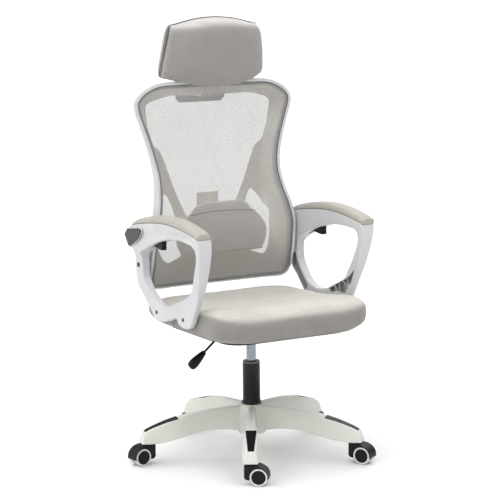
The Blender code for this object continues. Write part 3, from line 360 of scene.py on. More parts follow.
class Look:
    """A Principled material, its even values set on the shader, and short ways to add nodes to it."""

    def __init__(self, name, **plain):
        self.material = bpy.data.materials.new(name)
        self.material.use_nodes = True
        self.tree = self.material.node_tree
        self.sockets = self.tree.nodes["Principled BSDF"].inputs
        for key, value in plain.items():
            self.fill(self.sockets[key.replace("_", " ")], value)
        self.spots = self.node("TexCoord")
        self.place = self.spots["Object"]

    def fill(self, socket, value):
        """Link another socket to this one, or set its value."""
        if isinstance(value, bpy.types.NodeSocket):
            self.tree.links.new(value, socket)
        else:
            socket.default_value = value

    def node(self, kind, inputs=None, **settings):
        """Add a node, set its settings, fill its inputs and give its outputs."""
        made = self.tree.nodes.new("ShaderNode" + kind)
        for name, value in settings.items():
            setattr(made, name, value)
        for key, value in (inputs or {}).items():
            self.fill(made.inputs[key], value)
        return made.outputs

    def math(self, operation, a, b=0.0):
        return self.node("Math", {0: a, 1: b}, operation=operation)[0]

    def times(self, a, b):
        return self.math("MULTIPLY", a, b)

    def pick(self, share, a, b):
        """a where the share is 0, b where it is 1."""
        return self.math("ADD", self.times(share, b), self.times(self.math("SUBTRACT", 1.0, share), a))

    def step(self, value, low, high, bottom=0.0, top=1.0):
        """Map a value from low..high to bottom..top with smooth ends."""
        limits = {"From Min": low, "From Max": high, "To Min": bottom, "To Max": top}
        return self.node("MapRange", {"Value": value, **limits}, interpolation_type="SMOOTHSTEP")["Result"]

    def mix(self, share, a, b):
        """Mix two colours, each a colour or a socket."""
        inputs = {0: share}
        for key, value in ((6, a), (7, b)):
            inputs[key] = value if isinstance(value, bpy.types.NodeSocket) else (*value, 1.0)
        return self.node("Mix", inputs, data_type="RGBA")[2]

    def drifting(self, colour, drift, dull, bright):
        """The colour, going slowly between two shades of itself."""
        return self.mix(self.step(drift, 0.3, 0.7), shaded(colour, dull), shaded(colour, bright))

    def speckle(self, scale, detail=2.0, place=None):
        place = self.place if place is None else place
        return self.node("TexNoise", {"Vector": place, "Scale": scale, "Detail": detail})[0]

    def streaks(self, stretch):
        """Noise drawn out by a different scale along each axis."""
        return self.speckle(1.0, place=self.node("Mapping", {"Vector": self.place, "Scale": stretch})[0])

    def finish(self, tint, roughness, strength, depth, height):
        """Link the colour, the roughness and a bump of the given height; give the material."""
        bump = self.node("Bump", {"Strength": strength, "Distance": depth, "Height": height})[0]
        for key, value in (("Base Color", tint), ("Roughness", roughness), ("Normal", bump)):
            self.fill(self.sockets[key], value)
        return self.material


def moulded(name, colour, roughness, grain=0.25, wear=0.0, coat=0.0, shine=0.5):
    """Moulded plastic: fine eroded grain, slow drift in colour and gloss, rubbed edges."""
    look = Look(name, Coat_Weight=coat, Coat_Roughness=0.12, Specular_IOR_Level=shine)
    smudge = look.speckle(47.0, 5.0)
    tint = look.drifting(colour, look.speckle(11.0, 4.0), 0.965, 1.02)
    tint = look.mix(look.step(smudge, 0.55, 0.85, 0.0, 0.25), tint, shaded(colour, 0.92))
    if wear:
        rubbed = look.times(look.step(look.node("NewGeometry")["Pointiness"], 0.52, 0.6), wear)
        tint = look.mix(rubbed, tint, tuple(min(1.0, value * 1.4 + 0.006) for value in colour))
    gloss = look.step(smudge, 0.25, 0.75, roughness - 0.05, roughness + 0.07)
    return look.finish(tint, gloss, grain, 0.0002, look.speckle(1700.0))


def metal(name, colour, roughness, brushed_along="Z"):
    """Turned or drawn metal with fine lines along one axis and a few dull patches."""
    look = Look(name, Metallic=1.0, Anisotropic=0.35)
    lines = look.streaks([12.0 if axis == brushed_along else 900.0 for axis in "XYZ"])
    cloud = look.speckle(30.0, 4.0)
    gloss = look.math("ADD", look.step(lines, 0.3, 0.7, roughness - 0.04, roughness + 0.06),
                      look.step(cloud, 0.5, 0.8, 0.0, 0.08))
    return look.finish(look.drifting(colour, cloud, 0.92, 1.0), gloss, 0.12, 0.0001, lines)


def lattice(look, across, along, pitch):
    """1 at the middle of each staggered hole of a spacer knit, -1 on its yarn crossings."""
    waves = [look.math("COSINE", look.times(value, 2.0 * math.pi / size))
             for value, size in ((across, pitch), (along, pitch * 0.85))]
    return look.times(*waves)


def spacer_knit(name, colour, pitch=0.007, upright_shade=0.5):
    """Padded spacer fabric: staggered pinholes laid on each side by the way it faces.

    Upright faces get painted shade: their colour is darkened towards a dark copy of it by upright_shade, and
    their pinholes are painted darker than on top faces.
    """
    look = Look(name, Sheen_Weight=0.35, Sheen_Roughness=0.45, Specular_IOR_Level=0.2)
    x, y, z = look.node("SeparateXYZ", {0: look.place})
    facing = look.node("SeparateXYZ", {0: look.spots["Normal"]})
    sides = [look.math("ABSOLUTE", value) for value in facing]
    front = look.step(look.math("SUBTRACT", sides[1], sides[0]), -0.05, 0.05)
    flat, ahead, aside = (look.step(lattice(look, a, b, pitch), 0.05, 0.5)
                          for a, b in ((x, y), (x, z), (y, z)))
    hole = look.pick(look.step(sides[2], 0.62, 0.72), look.pick(front, aside, ahead), flat)
    fibre = look.speckle(2600.0)
    tint = look.drifting(colour, look.speckle(14.0, 5.0), 0.93, 1.04)
    tint = look.mix(look.step(fibre, 0.35, 0.75, 0.0, 0.3), tint, shaded(colour, 1.25))
    # Painted shade: faces that turn away from the top are darkened, as if the overhead light missed them.
    level = look.step(facing[2], 0.2, 0.95)
    tint = look.mix(level, look.mix(1.0 - upright_shade, tint, shaded(colour, 0.16)), tint)
    # The dark pinholes are the knit's own pattern; painting them darker on upright faces is painted shade.
    depth = look.times(hole, look.step(level, 0.0, 1.0, 0.76, 0.42))
    height = look.math("SUBTRACT", look.times(fibre, 0.25), hole)
    return look.finish(look.mix(depth, tint, shaded(colour, 0.2)), look.step(fibre, 0.2, 0.8, 0.78, 0.98),
                       0.6, 0.0005, height)


def open_knit(name, colour, pitch=0.0042, yarn=0.52):
    """Stretched see-through mesh: two slanting families of yarns with clear holes between."""
    look = Look(name, Sheen_Weight=0.2, Specular_IOR_Level=0.2)
    x, _, z = look.node("SeparateXYZ", {0: look.place})
    threads = []
    for operation in ("ADD", "SUBTRACT"):
        slant = look.math(operation, x, look.times(z, 0.72))
        wave = look.math("ABSOLUTE", look.math("SINE", look.times(slant, math.pi / pitch)))
        threads.append(look.step(wave, yarn - 0.1, yarn + 0.1, 1.0, 0.0))
    cover = look.math("MAXIMUM", *threads)
    look.fill(look.sockets["Alpha"], cover)
    streak = look.streaks((160.0, 1.0, 5.0))
    tint = look.drifting(colour, look.speckle(10.0, 4.0), 0.92, 1.05)
    tint = look.mix(look.step(streak, 0.4, 0.7, 0.0, 0.35), tint, shaded(colour, 0.85))
    # Painted shade: the mesh is darkened towards the bottom of the back, where the seat shades it.
    tint = look.mix(look.step(z, 0.5, 0.72), shaded(colour, 0.72), tint)
    return look.finish(tint, look.step(streak, 0.2, 0.8, 0.75, 0.95), 0.5, 0.0004, cover)


def soft_skin(name, colour):
    """Foamed arm-pad skin with a fine pebble grain."""
    look = Look(name, Specular_IOR_Level=0.35, Sheen_Weight=0.15)
    pebbles = look.node("TexVoronoi", {"Vector": look.place, "Scale": 620.0},
                        feature="DISTANCE_TO_EDGE")[0]
    drift = look.speckle(16.0, 4.0)
    crease = look.step(pebbles, 0.0, 0.12)
    tint = look.mix(crease, shaded(colour, 0.8), look.drifting(colour, drift, 0.94, 1.04))
    return look.finish(tint, look.step(drift, 0.3, 0.7, 0.5, 0.64), 0.35, 0.0003, crease)


WHITE = moulded("white_moulding", paint(199, 200, 202), 0.4, wear=0.1)
# A brighter copy of the white moulding for the web and lumbar pad behind the mesh: painted light that makes
# up for the shade they sit in.
WEB_WHITE_PAINTED_LIGHT = moulded("web_moulding_painted_light", paint(252, 249, 242), 0.46, wear=0.05)
# Grey look for the arms' hollows: painted shade standing in for the shadow inside them on the same white
# plastic.
HOLLOW_SHADE_GREY = moulded("hollow_painted_shade", paint(150, 150, 147), 0.55, grain=0.5)
BASE_WHITE = moulded("base_moulding", paint(215, 214, 207), 0.44, grain=0.35, wear=0.1)
BLACK = moulded("black_moulding", paint(17, 17, 20), 0.45, grain=0.35, wear=0.2, shine=0.22)
SMOKED = moulded("smoked_moulding", paint(22, 22, 27), 0.2, grain=0.04, coat=0.18, shine=0.3)
GUIDE_GREY = moulded("guide_moulding", paint(112, 114, 118), 0.4, shine=0.3)
TREAD = moulded("tread_moulding", paint(214, 216, 216), 0.46, grain=0.3)
CHROME = metal("satin_chrome", paint(142, 148, 154), 0.2)
ZINC = metal("zinc_plate", paint(92, 92, 96), 0.34, "X")
AXLE_STEEL = metal("axle_steel", paint(160, 160, 164), 0.3, "Y")
BLACK_STEEL = moulded("coated_steel", paint(26, 26, 30), 0.34, grain=0.15, wear=0.15, shine=0.3)
BOARD = moulded("painted_board", paint(28, 28, 30), 0.62, grain=0.5, shine=0.2)
# upright_shade sets how much painted shade darkens each fabric's upright faces.
SEAT_FABRIC = spacer_knit("seat_spacer_knit", paint(206, 202, 195), upright_shade=0.38)
HEAD_FABRIC = spacer_knit("head_spacer_knit", paint(204, 200, 196))
MESH_FABRIC = open_knit("back_open_knit", paint(150, 148, 145))
PAD_SKIN = soft_skin("pad_skin", paint(178, 172, 164))
# Dark cord for the seams round the headrest and the mesh, also used as painted shade in the lumbar pad's
# crease.
SEAM_DARK_AND_CREASE_SHADE = moulded("seam_cord_and_crease_shade", paint(104, 102, 98), 0.8, grain=0.6, shine=0.2)
PIPING = spacer_knit("piping_cloth", paint(178, 175, 168), 0.0012)


# ---- base --------------------------------------------------------------------------------
HUB_BASE_Z = 0.066
HUB_TOP_Z = 0.151
# Reach from the lift axis: top height, underside height, half width above, half width below.
LEG_SHAPE = (
    (0.031, 0.147, 0.073, 0.0095, 0.017),
    (0.07, 0.1462, 0.08, 0.0085, 0.0165),
    (0.11, 0.1445, 0.0835, 0.008, 0.0165),
    (0.155, 0.1405, 0.082, 0.009, 0.018),
    (0.195, 0.134, 0.0755, 0.013, 0.0225),
    (0.222, 0.1268, 0.07, 0.0178, 0.0262),
    (0.255, 0.1185, 0.064, 0.0185, 0.0275),
    (0.285, 0.109, 0.0605, 0.017, 0.0265),
    (0.309, 0.1, 0.0595, 0.015, 0.0235),
    (0.322, 0.0925, 0.06, 0.013, 0.021),
)
LEG_TIP_LEAN = 0.009                 # how much further out a leg's lower edge ends
LEG_WALL = 0.0035
INSERT_REACH = (0.2225, 0.3185)
INSERT_HALF = (0.0155, 0.0085)


def leg_mesh():
    rings = []
    rows = smooth_run(LEG_SHAPE, 6)
    for number, (reach, top, under, half_top, half_under) in enumerate(rows):
        lean = LEG_TIP_LEAN * ease(number, len(rows) - 8, len(rows) - 1)
        half = [(half_under, under), (0.45 * half_under + 0.55 * half_top, under + 0.62 * (top - under)),
                (half_top, top)]
        outline = rounded(half + [(-side, height) for side, height in reversed(half)], 0.004, 2)
        rings.append([(reach + lean * (top - height) / (top - under), side, height)
                      for side, height in outline])
    return skin(rings)


def channel_mesh():
    rings = []
    for reach, wall_top in ((0.052, 0.007), (0.11, 0.007), (0.155, 0.007), (0.195, 0.008),
                            (0.222, 0.011), (0.255, 0.011), (0.288, 0.011)):
        top, under, half_top, half_under = between(LEG_SHAPE, reach)
        outline = [(LEG_WALL - half_under, under - 0.01), (half_under - LEG_WALL, under - 0.01),
                   (half_top - LEG_WALL, top - wall_top), (LEG_WALL - half_top, top - wall_top)]
        rings.append([(reach, side, height) for side, height in outline])
    return skin(rings)


def insert_mesh(spread, low, high, stations=16):
    """The dark strip set in the top of a leg, or the pocket for it when spread."""
    curve = smooth_run(LEG_SHAPE, 6)
    rings = []
    for k in range(stations):
        share = k / (stations - 1)
        reach = INSERT_REACH[0] - spread + (INSERT_REACH[1] - INSERT_REACH[0] + 2 * spread) * share
        half = INSERT_HALF[0] + (INSERT_HALF[1] - INSERT_HALF[0]) * share + spread
        top = between(curve, reach)[0]
        rings.append([(reach, -half, top + low), (reach, half, top + low),
                      (reach, half, top + high), (reach, -half, top + high)])
    return skin(rings)


def caster_places():
    """Stem position, axle position and trail bearing of each caster, from the joints."""
    places = []
    for number in range(1, 6):
        stem = Vector(JOINTS[f"caster_swivel_{number}"]["pos_m"])
        axle = Vector(JOINTS[f"wheel_spin_{number}a"]["pos_m"])
        places.append((number, stem, axle, math.atan2(axle.y - stem.y, axle.x - stem.x)))
    return places


def build_base():
    hub = turned([(0.0, HUB_BASE_Z), (0.04, HUB_BASE_Z), (0.043, 0.085), (0.041, 0.12),
                  (0.0365, 0.143), (0.0325, HUB_TOP_Z), (0.0, HUB_TOP_Z)])
    legs, hollows, strips = [], [], []
    for number, stem, _, _ in caster_places():
        out = stem - LIFT
        turn = Matrix.Rotation(math.atan2(out.y, out.x), 4, "Z")
        legs.append(moved(leg_mesh(), turn))
        hollows.append(moved(channel_mesh(), turn))
        hollows.append(moved(insert_mesh(0.0008, -0.0022, 0.02), turn))
        hollows.append(moved(rod(0.0062, 0.04, 0.079), turn @ Matrix.Translation((out.length, 0, 0))))
        strips.append((number, moved(insert_mesh(0.0, -0.0022, 0.0008), turn)))
    bore = rod(0.0245, 0.05, 0.16)
    star = combined(united(hub, *legs), joined(hollows + [bore]))
    add("star_base", softened(star, 0.0016, 12), BASE_WHITE, "base", "base_star")
    for number, strip in strips:
        add(f"leg_strip_{number}", strip, BLACK, "base", f"leg_insert_{number}",
            bevel=0.0008)


# ---- casters -----------------------------------------------------------------------------
WHEEL_R = 0.025
TRAIL = 0.023
CASTER_HALF = 0.021
HOOD_TOP_Z = 0.0575
HOOD_R = 0.0275
FACE_R = 0.0198                      # edge of the dark disc in a wheel


def hood_outline():
    reach = TRAIL + HOOD_R
    arc = []
    for step in range(1, 24):
        angle = math.radians(90.0 - 90.0 * step / 24.0)
        arc.append((0.012 + (reach - 0.012) * math.cos(angle),
                    WHEEL_R + (HOOD_TOP_Z - WHEEL_R) * math.sin(angle)))
    return ([(-0.0165, 0.024), (-0.0165, HOOD_TOP_Z), (0.012, HOOD_TOP_Z)] + arc
            + [(reach, WHEEL_R), (reach - 0.0005, 0.02), (reach - 0.004, 0.0195),
               (TRAIL + 0.009, 0.0155), (TRAIL - 0.009, 0.0155), (-0.006, 0.0175), (-0.012, 0.0185)])


def fork_mesh():
    fork = prism(hood_outline(), "Y", -CASTER_HALF, CASTER_HALF)
    wells = []
    for _, side in SIDES:
        low, high = span(side, 0.0047, 0.03)
        wells.append(shifted(rod(0.026, low, high, "Y", ROUND), TRAIL, 0.0, WHEEL_R))
    fork = united(combined(fork, joined(wells)), rod(0.0054, 0.05, 0.078))
    return combined(fork, shifted(rod(0.0033, -0.01, 0.01, "Y"), TRAIL, 0.0, WHEEL_R))


def wheel_mesh():
    """A wheel whose face looks along -Y, with its tyre ring and dark disc as two materials."""
    outer = CASTER_HALF - 0.0003
    profile = [(0.0032, 0.0052), (0.0235, 0.0052), (0.0246, 0.0058), (WHEEL_R, 0.0072),
               (WHEEL_R, outer - 0.003), (0.0247, outer - 0.0014), (0.0238, outer - 0.0004), (0.0226, outer),
               (0.0212, outer - 0.0002), (FACE_R, outer - 0.0009), (FACE_R - 0.0003, outer - 0.002),
               (0.015, outer - 0.0014), (0.008, outer - 0.0011), (0.0, outer - 0.001),
               (0.0, outer - 0.0023), (0.0032, outer - 0.0023)]
    mesh = turned(profile, "Y", ROUND)
    mesh.materials.append(TREAD)
    mesh.materials.append(BLACK)
    for face in mesh.polygons:
        radius = math.hypot(face.center.x, face.center.z)
        face.material_index = int(radius < FACE_R - 0.0001 and abs(face.center.y) > 0.01)
    return mesh


def build_casters():
    fork, wheel = fork_mesh(), wheel_mesh()
    for number, stem, axle, bearing in caster_places():
        floor_stem = Vector((stem.x, stem.y, 0.0))
        add(f"caster_hood_{number}", fork, BLACK, f"caster_{number}", f"caster_fork_{number}",
            bevel=0.0007, place=floor_stem, turn_z=bearing)
        for letter, turn in (("a", math.pi), ("b", 0.0)):
            add(f"wheel_{number}{letter}", wheel, None, f"wheel_{number}{letter}",
                f"caster_wheel_{number}{letter}", place=axle, turn_z=bearing + turn)
        dress(f"caster_axle_{number}", AXLE_STEEL)


# ---- gas lift ----------------------------------------------------------------------------
TUBE_R = 0.025
TUBE_TOP_Z = 0.27
CYLINDER_R = 0.014


def build_lift():
    tube = [(0.0056, 0.066), (0.0237, 0.066), (0.0247, HUB_TOP_Z + 0.0003), (0.0278, HUB_TOP_Z + 0.0003),
            (0.0283, HUB_TOP_Z + 0.0012), (0.0283, 0.157), (0.0276, 0.1583), (0.0258, 0.159),
            (TUBE_R, 0.1602), (TUBE_R, TUBE_TOP_Z - 0.0012), (TUBE_R - 0.0012, TUBE_TOP_Z),
            (0.0216, TUBE_TOP_Z), (0.0216, 0.074), (0.0056, 0.074)]
    add("lift_tube", turned(tube, sides=ROUND), BLACK_STEEL, "base", "lift_column")
    bush = [(CYLINDER_R + 0.0003, 0.24), (0.0213, 0.24), (0.0213, TUBE_TOP_Z + 0.0003),
            (0.0244, TUBE_TOP_Z + 0.0003), (0.0247, 0.271), (0.0244, 0.2745), (0.0232, 0.2762),
            (0.0205, 0.2766), (CYLINDER_R + 0.001, 0.2766), (CYLINDER_R + 0.0003, 0.2758)]
    add("lift_bush", turned(bush, sides=ROUND), GUIDE_GREY, "base", "lift_guide_bush")
    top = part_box("lift_cylinder")[1].z
    cylinder = [(0.0055, 0.13), (CYLINDER_R - 0.001, 0.13), (CYLINDER_R, 0.131), (CYLINDER_R, top - 0.002),
                (CYLINDER_R - 0.002, top), (0.0043, top), (0.0043, 0.347), (0.0, 0.347), (0.0, 0.333),
                (0.0055, 0.333)]
    add("lift_cylinder_tube", turned(cylinder, sides=ROUND), CHROME, "seat", "lift_cylinder")


# ---- height lever ------------------------------------------------------------------------
def build_height_lever():
    pivot = Vector(JOINTS["height_lever_lift"]["pos_m"])
    bend = [(0.049, 0.0, 0.0), (-0.045, 0.0, -0.003), (-0.06, 0.0, -0.009), (-0.11, 0.0, -0.05),
            (-0.127, 0.0, -0.064)]
    add("height_rod", tube_along(smooth_run(bend, 10), 0.0033, sides=20), BLACK_STEEL, "height_lever",
        "height_lever_rod", place=pivot)
    along = Vector((-0.77, 0.0, -0.638)).normalized()
    flat = Vector((0.0, 1.0, 0.0))
    face = along.cross(flat)
    start = Vector((-0.108, 0.0, -0.0484))
    table = [(-0.001, 0.0044, 0.0048), (0.0, 0.006, 0.0068), (0.003, 0.0066, 0.0078),
             (0.004, 0.006, 0.0072), (0.006, 0.0068, 0.008), (0.012, 0.008, 0.0094),
             (0.028, 0.01, 0.0122), (0.042, 0.011, 0.0138), (0.05, 0.0106, 0.0134),
             (0.0565, 0.0092, 0.0116), (0.06, 0.0058, 0.0076)]
    rings = []
    for reach, half_width, half_thick in smooth_run(table, 3):
        outline = [(0.45 * half_width, half_thick), (half_width, 0.5 * half_thick),
                   (half_width, -0.55 * half_thick), (0.35 * half_width, -half_thick)]
        outline = rounded(outline + [(-across, thick) for across, thick in reversed(outline)], 0.0022, 3)
        rings.append([start + reach * along + across * flat + thick * face for across, thick in outline])
    add("height_paddle", skin(rings), BLACK, "height_lever", "height_lever_grip",
        place=pivot, sharp=50.0)


# ---- seat --------------------------------------------------------------------------------
SEAT_HALF_WIDTH = 0.2435
SEAT_FRONT_Y = -0.279
SEAT_BACK_Y = 0.213
SEAT_MIDDLE_Y = (SEAT_FRONT_Y + SEAT_BACK_Y) / 2.0
BOARD_Z = (0.3777, 0.3867)
RAIL_Y = (-0.135, 0.095)            # reach of the board's rails, which take the arms' bolts
# Height of each ring of the cushion: inset at the sides and back, corner radius, inset at the front.
SEAT_RINGS = (
    (0.3885, 0.02, 0.1, 0.01), (0.3915, 0.0145, 0.098, 0.007), (0.3955, 0.01, 0.096, 0.005),
    (0.405, 0.003, 0.072, 0.003), (0.418, 0.0, 0.058, 0.003), (0.429, 0.001, 0.054, 0.008),
    (0.437, 0.0045, 0.052, 0.017), (0.443, 0.012, 0.054, 0.029), (0.447, 0.028, 0.058, 0.048),
    (0.449, 0.06, 0.07, 0.084), (0.449, 0.11, 0.06, 0.13), (0.448, 0.16, 0.05, 0.18),
)
FRONT_RISE = 0.017                  # the thick front roll stands this much above the sitting area
SIDE_RISE = 0.008


def seat_outline(inset, corner, front_inset=None, steps=14):
    """Outline of the seat in plan, drawn in by the given distances, with round corners."""
    reach = SEAT_HALF_WIDTH - inset - corner
    back = SEAT_BACK_Y - inset - corner
    front = SEAT_FRONT_Y + (inset if front_inset is None else front_inset) + corner
    corners = ((reach, front, -90.0), (reach, back, 0.0), (-reach, back, 90.0), (-reach, front, 180.0))
    points = []
    for x, y, start in corners:
        for step in range(steps + 1):
            angle = math.radians(start + 90.0 * step / steps)
            points.append((x + corner * math.cos(angle), y + corner * math.sin(angle)))
    return points


def build_seat():
    rings = []
    for height, inset, corner, front_inset in SEAT_RINGS:
        rings.append([(x, y, height) for x, y in seat_outline(inset, corner, front_inset)])
    floor_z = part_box("seat_cushion")[0].z
    cover = swollen(skin(rings), 0.006, lambda point: ease(point.z, floor_z, floor_z + 0.02))
    for vertex in cover.vertices:
        here = vertex.co
        top = ease(here.z, 0.425, 0.446)
        high = ease(here.z, 0.4, 0.447)
        rise = FRONT_RISE * ease(-here.y, 0.04, 0.235)
        rise += SIDE_RISE * ease(abs(here.x), 0.13, 0.215) * ease(-here.y, -0.14, 0.1)
        dish = 0.0035 * math.exp(-(here.x / 0.13) ** 2 - ((here.y + 0.01) / 0.12) ** 2)
        wave = 0.0012 * noise.noise(Vector((here.x * 11.0, here.y * 9.0, here.z * 14.0)))
        pucker = 0.0006 * noise.noise(Vector((here.x * 38.0, here.y * 38.0, here.z * 9.0)))
        outward = Vector((here.x, here.y - SEAT_MIDDLE_Y, 0.0)).normalized()
        vertex.co = here + Vector((0.0, 0.0, top * (wave - dish) + high * rise))
        vertex.co += outward * (1.0 - top) * (wave + pucker)
        vertex.co.z = max(vertex.co.z, floor_z)
    cushion = add("seat_pad", cover, SEAT_FABRIC, "seat", "seat_cushion", subdivide=1)
    hem = [(x, y, floor_z + 0.0022) for x, y in seat_outline(0.023, 0.1, 0.011, 30)]
    add("seat_hem", tube_along(hem, CORD_R, True), PIPING, "seat")
    board = prism(seat_outline(0.048, 0.06, None, 24), "Z", *BOARD_Z)
    for _, side in SIDES:
        for near, far, bottom, top in ((0.18, 0.202, *BOARD_Z), (0.196, 0.202, BOARD_Z[0], 0.43),
                                       (0.2, 0.23, 0.399, 0.43)):
            low, high = span(side, near, far)
            board = united(board, block((low, RAIL_Y[0], bottom), (high, RAIL_Y[1], top)))
    add("seat_pan", board, BOARD, "seat", "seat_board", bevel=0.0012)


# ---- arms --------------------------------------------------------------------------------
# Stations round the loop, front top corner first: outer y, z, inner y, z, inner |x|, outer |x|.
ARM_LOOP = (
    (-0.203, 0.6725, -0.178, 0.6505, 0.24, 0.2845),
    (-0.165, 0.682, -0.158, 0.656, 0.241, 0.2855),
    (-0.1, 0.691, -0.1, 0.659, 0.241, 0.2855),
    (-0.03, 0.6945, -0.035, 0.6535, 0.241, 0.2855),
    (0.04, 0.6905, 0.02, 0.64, 0.241, 0.2855),
    (0.1, 0.683, 0.062, 0.6255, 0.241, 0.2855),
    (0.15, 0.675, 0.098, 0.611, 0.241, 0.2855),
    (0.195, 0.662, 0.122, 0.602, 0.2425, 0.2855),
    (0.222, 0.639, 0.132, 0.597, 0.244, 0.285),
    (0.196, 0.606, 0.138, 0.59, 0.246, 0.279),
    (0.188, 0.585, 0.141, 0.58, 0.247, 0.272),
    (0.187, 0.548, 0.142, 0.555, 0.247, 0.271),
    (0.176, 0.503, 0.137, 0.527, 0.247, 0.271),
    (0.151, 0.481, 0.121, 0.504, 0.247, 0.271),
    (0.127, 0.458, 0.1, 0.484, 0.246, 0.2695),
    (0.101, 0.4345, 0.078, 0.4685, 0.245, 0.268),
    (0.071, 0.4095, 0.053, 0.4595, 0.245, 0.268),
    (0.03, 0.4115, 0.022, 0.457, 0.245, 0.267),
    (-0.01, 0.423, -0.017, 0.464, 0.245, 0.265),
    (-0.038, 0.4325, -0.042, 0.476, 0.245, 0.2625),
    (-0.05, 0.4155, -0.063, 0.484, 0.245, 0.26),
    (-0.086, 0.41, -0.089, 0.4955, 0.245, 0.26),
    (-0.118, 0.421, -0.108, 0.505, 0.245, 0.26),
    (-0.14, 0.456, -0.12, 0.5155, 0.2445, 0.2602),
    (-0.165, 0.503, -0.131, 0.529, 0.242, 0.2615),
    (-0.19, 0.562, -0.157, 0.564, 0.2405, 0.27),
    (-0.207, 0.62, -0.183, 0.612, 0.24, 0.2765),
    (-0.21, 0.65, -0.187, 0.636, 0.24, 0.2805),
)
ARM_STEPS = 6
# Station: depth of the shallow valley in the arm's outer face, round the top of the loop.
CREASE = ((0.0, 0.0), (0.6, 0.0055), (7.0, 0.0055), (9.0, 0.0), (26.0, 0.0), (28.0, 0.0))
CREASE_SHARE = 0.5                 # where the valley lies across the arm's width
HOLLOW_FLOOR_X = 0.003             # wall left under the outer face below a hollow
HOLLOW_NEAR_X = 0.23
# Hollows moulded into the arm's inner face, as outlines (y, z): the front foot's cells between its
# ribs, then the rear strut's.
HOLLOWS = (
    ((-0.1725, 0.542), (-0.142, 0.517), (-0.129, 0.51), (-0.133, 0.492), (-0.149, 0.496)),
    ((-0.1275, 0.509), (-0.106, 0.5), (-0.129, 0.48), (-0.135, 0.476), (-0.131, 0.49)),
    ((-0.1035, 0.4985), (-0.088, 0.492), (-0.088, 0.464), (-0.118, 0.464), (-0.127, 0.479)),
    ((-0.0855, 0.491), (-0.063, 0.48), (-0.074, 0.464), (-0.0855, 0.464)),
    ((-0.06, 0.478), (-0.033, 0.466), (-0.042, 0.456), (-0.0715, 0.464)),
    ((0.156, 0.552), (0.177, 0.544), (0.17, 0.506), (0.146, 0.4835), (0.122, 0.461),
     (0.097, 0.44), (0.083, 0.457), (0.102, 0.4765), (0.129, 0.502), (0.1455, 0.526)),
)
PAD_X = 0.2634
# Station along the pad, front first: half width and thickness of the pad over the arm's top.
PAD_SHAPE = ((0, 0.0215, 0.016), (1, 0.0222, 0.0182), (2, 0.0225, 0.0198), (3, 0.0225, 0.02),
             (4, 0.0225, 0.0195), (5, 0.022, 0.0178), (6, 0.0205, 0.0145), (6.5, 0.0185, 0.0105),
             (7, 0.0145, 0.0055))
CAP_OUTLINE = ((0.199, 0.6565), (0.127, 0.666), (0.114, 0.662), (0.118, 0.65), (0.137, 0.6325),
               (0.182, 0.6085), (0.194, 0.6095), (0.217, 0.64))
TRIGGER_OUTLINE = ((0.0185, 0.6395), (0.0185, 0.6165), (0.0215, 0.6155), (0.034, 0.6155), (0.055, 0.6185),
                   (0.075, 0.6205), (0.104, 0.6225), (0.1065, 0.632), (0.103, 0.637), (0.092, 0.638),
                   (0.06, 0.637), (0.03, 0.641))
TRIGGER_SLOT = ((0.0165, 0.595), (0.0165, 0.6625), (0.06, 0.6625), (0.1, 0.644), (0.112, 0.644),
                (0.112, 0.595))
TRIGGER_X = (0.2565, 0.2705)
CAP_X = (0.2857, 0.289)
BORDER_X = (0.284, 0.2866)         # the raised border round the corner cap
CAP_MIDDLE = (0.165, 0.638)
ARM_BOLTS = ((0.065, 0.434, 0.268), (-0.076, 0.434, 0.26))   # y, z, and |x| of the arm's face there


def arm_stations():
    return smooth_run(ARM_LOOP, ARM_STEPS, closed=True)


def arm_mesh():
    rings = []
    for number, (outer_y, outer_z, inner_y, inner_z, near, far) in enumerate(arm_stations()):
        outer, inner = Vector((outer_y, outer_z)), Vector((inner_y, inner_z))
        wide = (inner - outer).length
        run = (inner - outer) / wide
        step = between(CREASE, number / ARM_STEPS)[0]
        crease = wide * CREASE_SHARE
        section = rounded([(0.0, near), (0.0, far), (wide, far), (wide, near)], 0.004, 4)
        corners = 2 * 5
        face = [(crease - 0.003, far - 0.88 * step), (crease, far - step),
                (crease + 0.002, far - 0.9 * step)]
        section = section[:corners] + face + section[corners:]
        rings.append([(height, (outer + run * across).x, (outer + run * across).y)
                      for across, height in section])
    return skin(rings, closed=True)


def hollow_mesh(outline):
    """A hollow in the arm's inner face; its outline moves in with the arm's own taper."""
    floor_x = min(far for outer_y, outer_z, _, _, _, far in ARM_LOOP if outer_z < 0.56) - HOLLOW_FLOOR_X
    mesh = prism(rounded(outline, 0.0015, 2), "X", HOLLOW_NEAR_X, floor_x)
    # The hollow's faces take the grey look: painted shade for the shadow inside it.
    mesh.materials.append(HOLLOW_SHADE_GREY)
    return mesh


def pad_mesh():
    """The armrest pad, which follows the arm's top edge and overhangs its front corner."""
    run = arm_stations()
    profile = [(-0.93, 0.02), (-1.0, 0.12), (-1.02, 0.3), (-0.985, 0.52), (-0.9, 0.73), (-0.74, 0.88),
               (-0.5, 0.965), (-0.25, 0.995), (0.0, 1.0)]
    profile += [(-across, height) for across, height in reversed(profile[:-1])]
    profile += [(0.8, -0.02), (0.0, -0.02), (-0.8, -0.02)]
    rings = []
    count = int(PAD_SHAPE[-1][0] * ARM_STEPS) + 1
    for number in range(count):
        half, thick = between(PAD_SHAPE, number / ARM_STEPS)
        y, z = run[number][:2]
        rings.append([(PAD_X + across * half, y, z + 0.0008 + height * thick)
                      for across, height in profile])
    y, front_z = run[0][:2]
    noses = []
    floor_z = front_z + 0.0008
    for reach, share in ((0.0075, 0.9), (0.007, 0.955), (0.005, 0.985)):
        noses.append([(PAD_X + (x - PAD_X) * share,
                       y - reach * (0.35 + 0.65 * ease(z, front_z, front_z + 0.014)),
                       floor_z + share * (z - floor_z)) for x, _, z in rings[0]])
    return skin(noses + rings)


